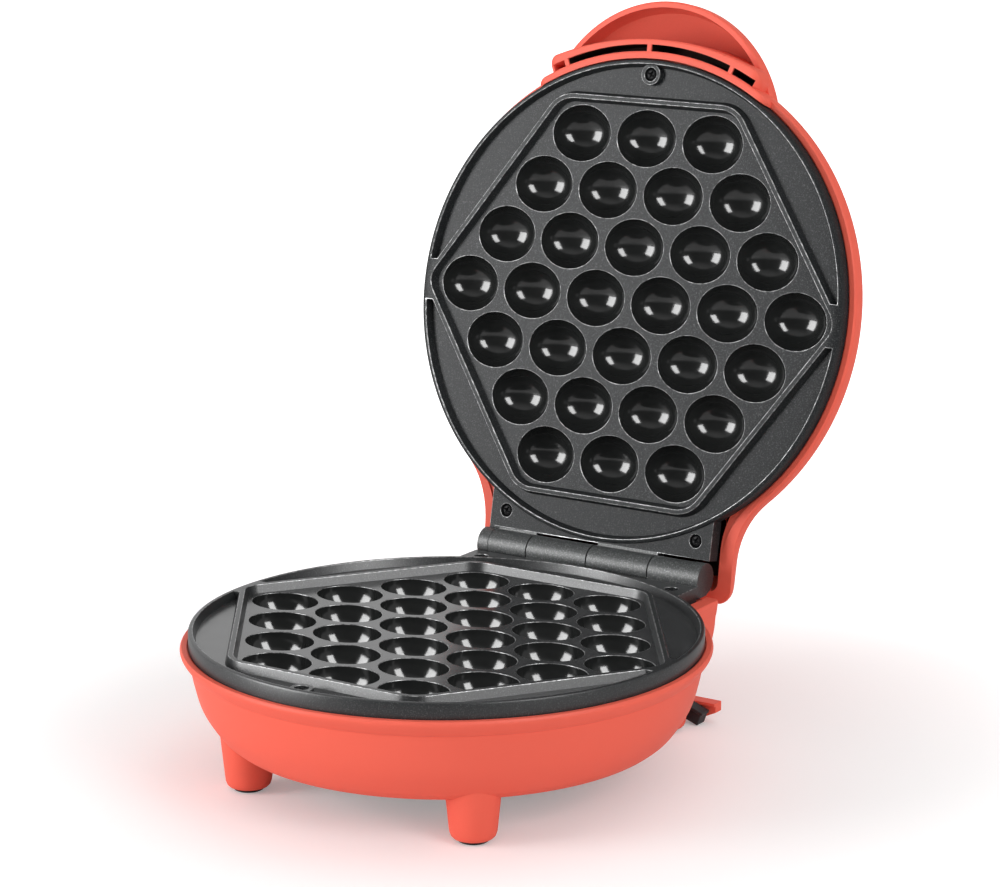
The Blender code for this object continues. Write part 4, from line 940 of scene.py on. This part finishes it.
# Reflectors. A shallow pan pressed from bright sheet, with a raised bead ring that stiffens it
# and a rolled rim, throws the heat of each element back at its plate.
PAN_DEPTH = 0.0242
PAN_RADIUS = PLATE_RADIUS - 0.0140
PAN_PROFILE = (
    (0.0040, 0.0), (0.0240, 0.0), (0.0256, -0.0002), (0.0268, -0.0008), (0.0284, -0.0010),
    (0.0396, -0.0010), (0.0412, -0.0008), (0.0424, -0.0002), (0.0440, 0.0),
    (PAN_RADIUS - 0.0066, 0.0),
    (PAN_RADIUS - 0.0034, -0.0006), (PAN_RADIUS - 0.0016, -0.0022), (PAN_RADIUS - 0.0009, -0.0060),
    (PAN_RADIUS - 0.0006, -0.0066), (PAN_RADIUS - 0.0002, -0.0066), (PAN_RADIUS, -0.0060),
    (PAN_RADIUS - 0.0008, -0.0019), (PAN_RADIUS - 0.0029, 0.0001), (PAN_RADIUS - 0.0064, 0.0008),
    (0.0442, 0.0008), (0.0418, 0.0005), (0.0406, -0.0001), (0.0392, -0.0003), (0.0288, -0.0003),
    (0.0274, -0.0001), (0.0262, 0.0005), (0.0238, 0.0008), (0.0040, 0.0008))

sheet = Finish("reflector_sheet", (0.62, 0.63, 0.64), 0.28, 1.0)
stain = sheet.place.noise(38.0, 4.0, 0.6).ramp(0.46, 0.72)
sheet.feed("Base Color", stain.blend((0.64, 0.65, 0.66), (0.50, 0.42, 0.30)))
sheet.roughen(0.20, 0.22, 400.0, 3.0)
for side, body in BOTH_HALVES:
    finished(turned("pan", [(radius, PAN_DEPTH + rise) for radius, rise in PAN_PROFILE], 96),
             side + "_reflector_pan", body, "reflector_sheet", [sheet],
             [side + "_reflector"], edge=0.0)

# Thermostats. A snap disc in a small aluminium cup with a moulded body on top and two blade
# terminals, clamped to the back of each reflector.
CUP_DEPTH = 0.0253
CUP_RADIUS = 0.0080
CUP_HEIGHT = 0.0062
CUP_FLANGE = 0.0019
BLADES = ((-0.0118, -0.0024, CUP_DEPTH + 0.0036), (0.0118, 0.0024, CUP_DEPTH + 0.0043))


def snap_thermostat():
    top, lip = CUP_DEPTH + CUP_HEIGHT, CUP_DEPTH + CUP_FLANGE
    made = turned("thermostat", [
        (CUP_RADIUS - 0.0004, CUP_DEPTH), (CUP_RADIUS, CUP_DEPTH + 0.0004),
        (CUP_RADIUS, lip - 0.0003), (CUP_RADIUS - 0.0003, lip), (CUP_RADIUS * 0.80, lip + 0.0001),
        (CUP_RADIUS * 0.79, top - 0.0006), (CUP_RADIUS * 0.72, top - 0.0001),
        (CUP_RADIUS * 0.40, top - 0.0001), (CUP_RADIUS * 0.36, top - 0.0006)], 64)
    return join(made, block("blades", *BLADES))


def part_of_thermostat(face):
    """Which finish a face takes: 0 aluminium cup, 1 moulded body, 2 blades."""
    if abs(face.center.x) > CUP_RADIUS * 0.81 and face.center.z > CUP_DEPTH + CUP_FLANGE + 0.0005:
        return 2
    return 1 if face.center.z > CUP_DEPTH + CUP_FLANGE + 0.0002 else 0


moulded = Finish("thermostat_body", (0.060, 0.028, 0.018), 0.5)
moulded.roughen(0.42, 0.18, 900.0, 2.0)
for side, body in BOTH_HALVES:
    finished(snap_thermostat(), side + "_snap_thermostat", body, "reflector_sheet",
             [sheet, moulded, plated], [side + "_thermostat"], edge=0.0002, edge_finish=-1,
             pick=part_of_thermostat)

# Thermal fuse and terminal block. The fuse is a small can in a ceramic sleeve beside the
# thermostat. The wires meet in a ceramic block with three brass screws.
FUSE_RADIUS = 0.0022
FUSE_HALF = 0.0080
FUSE_PLACE = (0.0220, CUP_DEPTH + FUSE_RADIUS)
FUSE_PROFILE = (
    (0.0004, -FUSE_HALF), (0.0004, -0.0062), (0.0012, -0.0060), (0.0019, -0.0056),
    (FUSE_RADIUS, -0.0048), (FUSE_RADIUS, 0.0036), (0.0017, 0.0042), (0.0017, 0.0056),
    (0.0012, 0.0062), (0.0004, 0.0064), (0.0004, FUSE_HALF))
BLOCK_HALF = 0.0130
BLOCK_FRONT = PAN_RADIUS + 0.0006
BLOCK_LENGTH = 0.0090
BLOCK_DEPTH = (0.0281, 0.0381)
BLOCK_PITCH = 0.0085
GROOVE_HALF = (0.0021, 0.0003)

fuse = turned("fuse", FUSE_PROFILE, 32)
fuse.data.transform(Matrix.Translation((0.0, *FUSE_PLACE)) @ Matrix.Rotation(math.pi / 2, 4, "Y"))
finished(fuse, "thermal_fuse_can", "base", "block_ceramic", [ceramic],
         ["thermal_fuse"], edge=0.0002)
holder = block("holder", (-BLOCK_HALF, BLOCK_FRONT, BLOCK_DEPTH[0]),
               (BLOCK_HALF, BLOCK_FRONT + BLOCK_LENGTH, BLOCK_DEPTH[1]))
screw_row = [-BLOCK_PITCH, 0.0, BLOCK_PITCH]
middle = BLOCK_FRONT + BLOCK_LENGTH / 2
top = BLOCK_DEPTH[1]
for x in screw_row:
    wire_hole = rod("wire_hole", 0.0016, -0.010, 0.010, 24)
    wire_hole.data.transform(Matrix.Translation((x, middle, BLOCK_DEPTH[0] + 0.0040))
                             @ Matrix.Rotation(math.pi / 2, 4, "X"))
    carve(holder, wire_hole)
    carve(holder, rod("screw_hole", 0.0022, top - 0.0030, top + 0.001, 32, (x, middle)))
finished(holder, "ceramic_block", "base", "block_ceramic", [ceramic],
         ["terminal_block"], edge=0.0006)
brass = Finish("block_brass", (0.62, 0.43, 0.16), 0.30, 1.0)
brass.roughen(0.24, 0.16, 800.0, 2.0)
for number, x in enumerate(screw_row, 1):
    slotted = turned("slotted", [(0.0018, top - 0.0030), (0.0018, top - 0.0016),
                                 (0.0015, top - 0.0013)], 32, (x, middle))
    carve(slotted, plank("groove", (x, middle), GROOVE_HALF, top - 0.0019, top))
    finished(slotted, "brass_screw_%d" % number, "base", "block_ceramic", [brass],
             edge=0.0001)

# Bottom cover. A black moulded disc with a ring of cooling slots and four sunk screw seats
# closes the opening through which the base is assembled.
COVER_RADIUS = 0.0620
COVER_THICKNESS = 0.0017
COVER_SCREWS = (COVER_RADIUS - 0.0060) * math.sqrt(0.5)
COVER_SLOTS = 16
SLOT_ENDS = ((0.0355, -1), (0.0265, 1))

cover_top = BASE_DEPTH - COVER_THICKNESS
cut_through = (cover_top - 0.001, BASE_DEPTH + 0.001)
cover = turned("cover", [
    (COVER_RADIUS, cover_top), (COVER_RADIUS, BASE_DEPTH), (0.0500, BASE_DEPTH),
    (0.0496, BASE_DEPTH - 0.0005), (0.0220, BASE_DEPTH - 0.0005), (0.0216, BASE_DEPTH)], 128)
for i in range(COVER_SLOTS):
    turn = math.tau * (i + 0.5) / COVER_SLOTS
    outline = []
    for reach, start in SLOT_ENDS:
        outline += arc((reach, 0.0), 0.0011, start * math.pi / 2, start * math.pi / 2 + math.pi, 8)
    outline = [tuple(Matrix.Rotation(turn, 2) @ Vector(point)) for point in outline]
    carve(cover, loft("slot", [[(x, y, z) for x, y in outline] for z in cut_through]))
cover_corners = [(sx * COVER_SCREWS, sy * COVER_SCREWS) for sx in (1, -1) for sy in (1, -1)]
for x, y in cover_corners:
    carve(cover, rod("seat", HEAD_RADIUS + 0.0003, *cut_through, 40, (x, y)))
cover_black = Finish("cover_black", (0.030, 0.030, 0.032), 0.6)
cover_black.mottle((1600.0, 2.0), (0.024, 0.024, 0.026), (0.038, 0.038, 0.040), 0.52, 0.2,
                   bump=(0.25, 0.0001))
finished(cover, "base_cover", "base", "cover_black", [cover_black], ["bottom_cover"],
         edge=0.0003)
for number, (x, y) in enumerate(cover_corners, 1):
    finished(cross_screw(x, y, BASE_DEPTH - 0.0001, 0.0, -1.0, 0.3 * number),
             "cover_cross_screw_%d" % number, "base", "screw_black", [black_steel],
             ["cover_screw_%d" % number], edge=0.0)

# Cord bracket. A coral cross bar on a short arm under the tail, with a lip along its top and
# slanted ends, which the cord winds round for storage.
WING_HALF = 0.0594
WING_DEPTH = (0.0511, 0.0593)
WING_TIP = 0.0040
WING_SLANT = 0.0088
WING_FRONT = HINGE_REACH - 0.0014
WING_BACK = WING_FRONT + 0.0058
WING_LIP = 0.0013
ARM_HALF = 0.0280
ARM_START = COVER_RADIUS + 0.0100
ARM_HEIGHT = 0.0050

wing_outline = [(-WING_HALF, WING_DEPTH[0]), (WING_HALF, WING_DEPTH[0]),
                (WING_HALF, WING_DEPTH[0] + WING_TIP), (WING_HALF - WING_SLANT, WING_DEPTH[1]),
                (WING_SLANT - WING_HALF, WING_DEPTH[1]), (-WING_HALF, WING_DEPTH[0] + WING_TIP)]
bracket = loft("bracket", [[(x, y, z) for x, z in wing_outline] for y in (WING_FRONT, WING_BACK)])
carve(bracket, block("face", (-WING_HALF - 0.001, WING_FRONT - 0.001, WING_DEPTH[0] + WING_LIP),
                     (WING_HALF + 0.001, WING_FRONT + 0.0010, WING_DEPTH[1] + 0.001)))
arm_top = BASE_DEPTH + SEAT_GAP
join(bracket, block("rise", (-ARM_HALF, WING_FRONT + 0.0002, arm_top + 0.0002),
                    (ARM_HALF, WING_BACK - 0.0008, WING_DEPTH[0] + 0.0010)))
join(bracket, block("arm", (0.0006 - ARM_HALF, ARM_START, arm_top),
                    (ARM_HALF - 0.0006, WING_BACK - 0.0012, arm_top + ARM_HEIGHT)))
finished(bracket, "cord_winding_bar", "base", "shell_coral", [coral],
         ["cord_bracket"], edge=0.0005, segments=3)

# Cord gland. A small black moulded block beside the bar's end, with a collar, where the mains
# lead goes in.
GLAND_CENTRE = 0.0070 - 0.0600
GLAND_HALF = 0.0037
GLAND_LENGTH = 0.0052
GLAND_DEPTH = (0.0528, 0.0588)
GLAND_COLLAR = 0.0008
GLAND_LEAN = math.radians(20.0)

gland_back = WING_FRONT - SEAT_GAP
gland = block("gland", (-GLAND_HALF, gland_back - GLAND_LENGTH, GLAND_DEPTH[0]),
              (GLAND_HALF, gland_back + 0.0010, GLAND_DEPTH[1]))
collar_half = GLAND_HALF + GLAND_COLLAR
join(gland, block("collar", (-collar_half, gland_back - GLAND_LENGTH - GLAND_COLLAR,
                             GLAND_DEPTH[0] - 0.0006),
                  (collar_half, gland_back, GLAND_DEPTH[0] + 0.0008)))
carve(gland, rod("entry", 0.0019, GLAND_DEPTH[1] - 0.0035, GLAND_DEPTH[1] + 0.001, 32,
                 (0.0, gland_back - GLAND_LENGTH / 2)))
gland.data.transform(Matrix.Translation((GLAND_CENTRE, 0.0, GLAND_DEPTH[0]))
                     @ Matrix.Rotation(GLAND_LEAN, 4, "Y")
                     @ Matrix.Translation((0.0, 0.0, -GLAND_DEPTH[0])))
gland_black = Finish("gland_black", (0.016, 0.016, 0.018), 0.5)
gland_black.mottle((1200.0, 2.0), (0.013, 0.013, 0.015), (0.022, 0.022, 0.024), 0.42, 0.2)
finished(gland, "lead_gland", "base", "gland_black", [gland_black], ["cord_gland"],
         edge=0.0004)

# Lamp board and lenses. Two light-emitting diodes and their resistors on a small printed board
# shine through a red and a green lens pressed into the top of the lid.
LENS_RADIUS = 0.0030
LENS_TOP = LID_DEPTH - 0.0004
LENS_HEIGHT = 0.0046
BOARD_HALF = (0.0160, 0.0060)
BOARD_THICKNESS = 0.0016
RESISTOR_HALF = (0.0008, 0.0016)

lamp_low = LENS_TOP - LENS_HEIGHT - SEAT_GAP
board_low = lamp_low - 0.0012
board = plank("board", (0.0, LENS_PLACE[1]), BOARD_HALF, board_low - BOARD_THICKNESS, board_low)
for x in (-LENS_PLACE[0], LENS_PLACE[0]):
    join(board, turned("diode", [(0.0015, board_low - 0.0004), (0.0015, lamp_low - 0.0003),
                                 (0.0011, lamp_low)], 24, (x, LENS_PLACE[1])))
    join(board, plank("resistor", (x * 0.45, LENS_PLACE[1]), RESISTOR_HALF, board_low - 0.0004,
                      board_low + 0.0008))


def part_of_board(face):
    """Which finish a face takes: 0 board, 1 the parts soldered on it."""
    return 1 if face.center.z > board_low + 0.0001 else 0


solder_mask = Finish("board_green", (0.020, 0.110, 0.045), 0.35)
solder_mask.tint((0.016, 0.095, 0.038), (0.026, 0.130, 0.055), 500.0, 2.0)
diode_case = Finish("diode_case", (0.70, 0.70, 0.68), 0.20)
diode_case.roughen(0.16, 0.12, 900.0, 2.0)
finished(board, "printed_lamp_board", "lid", "cover_black", [solder_mask, diode_case],
         ["lamp_board"], edge=0.0001, edge_finish=-1, pick=part_of_board)
for node, x, tint in (("power_lens", -LENS_PLACE[0], (0.62, 0.030, 0.020)),
                      ("ready_lens", LENS_PLACE[0], (0.050, 0.42, 0.080))):
    clear = Finish(node + "_plastic", tint, 0.12, Coat_Weight=0.6, Coat_Roughness=0.05)
    clear.mottle((500.0, 2.0), [shade * 0.8 for shade in tint], tint, 0.09, 0.06)
    low = LENS_TOP - LENS_HEIGHT
    finished(turned("lens", [
        (LENS_RADIUS * 0.8, low), (LENS_RADIUS, low + 0.0003), (LENS_RADIUS, LENS_TOP - 0.0010),
        (LENS_RADIUS * 0.92, LENS_TOP - 0.0005), (LENS_RADIUS * 0.72, LENS_TOP - 0.0002),
        (LENS_RADIUS * 0.40, LENS_TOP)], 40, (x, LENS_PLACE[1])), node + "_cap", "lid",
        "lens_red" if x < 0 else "lens_green", [clear], [node], edge=0.0)
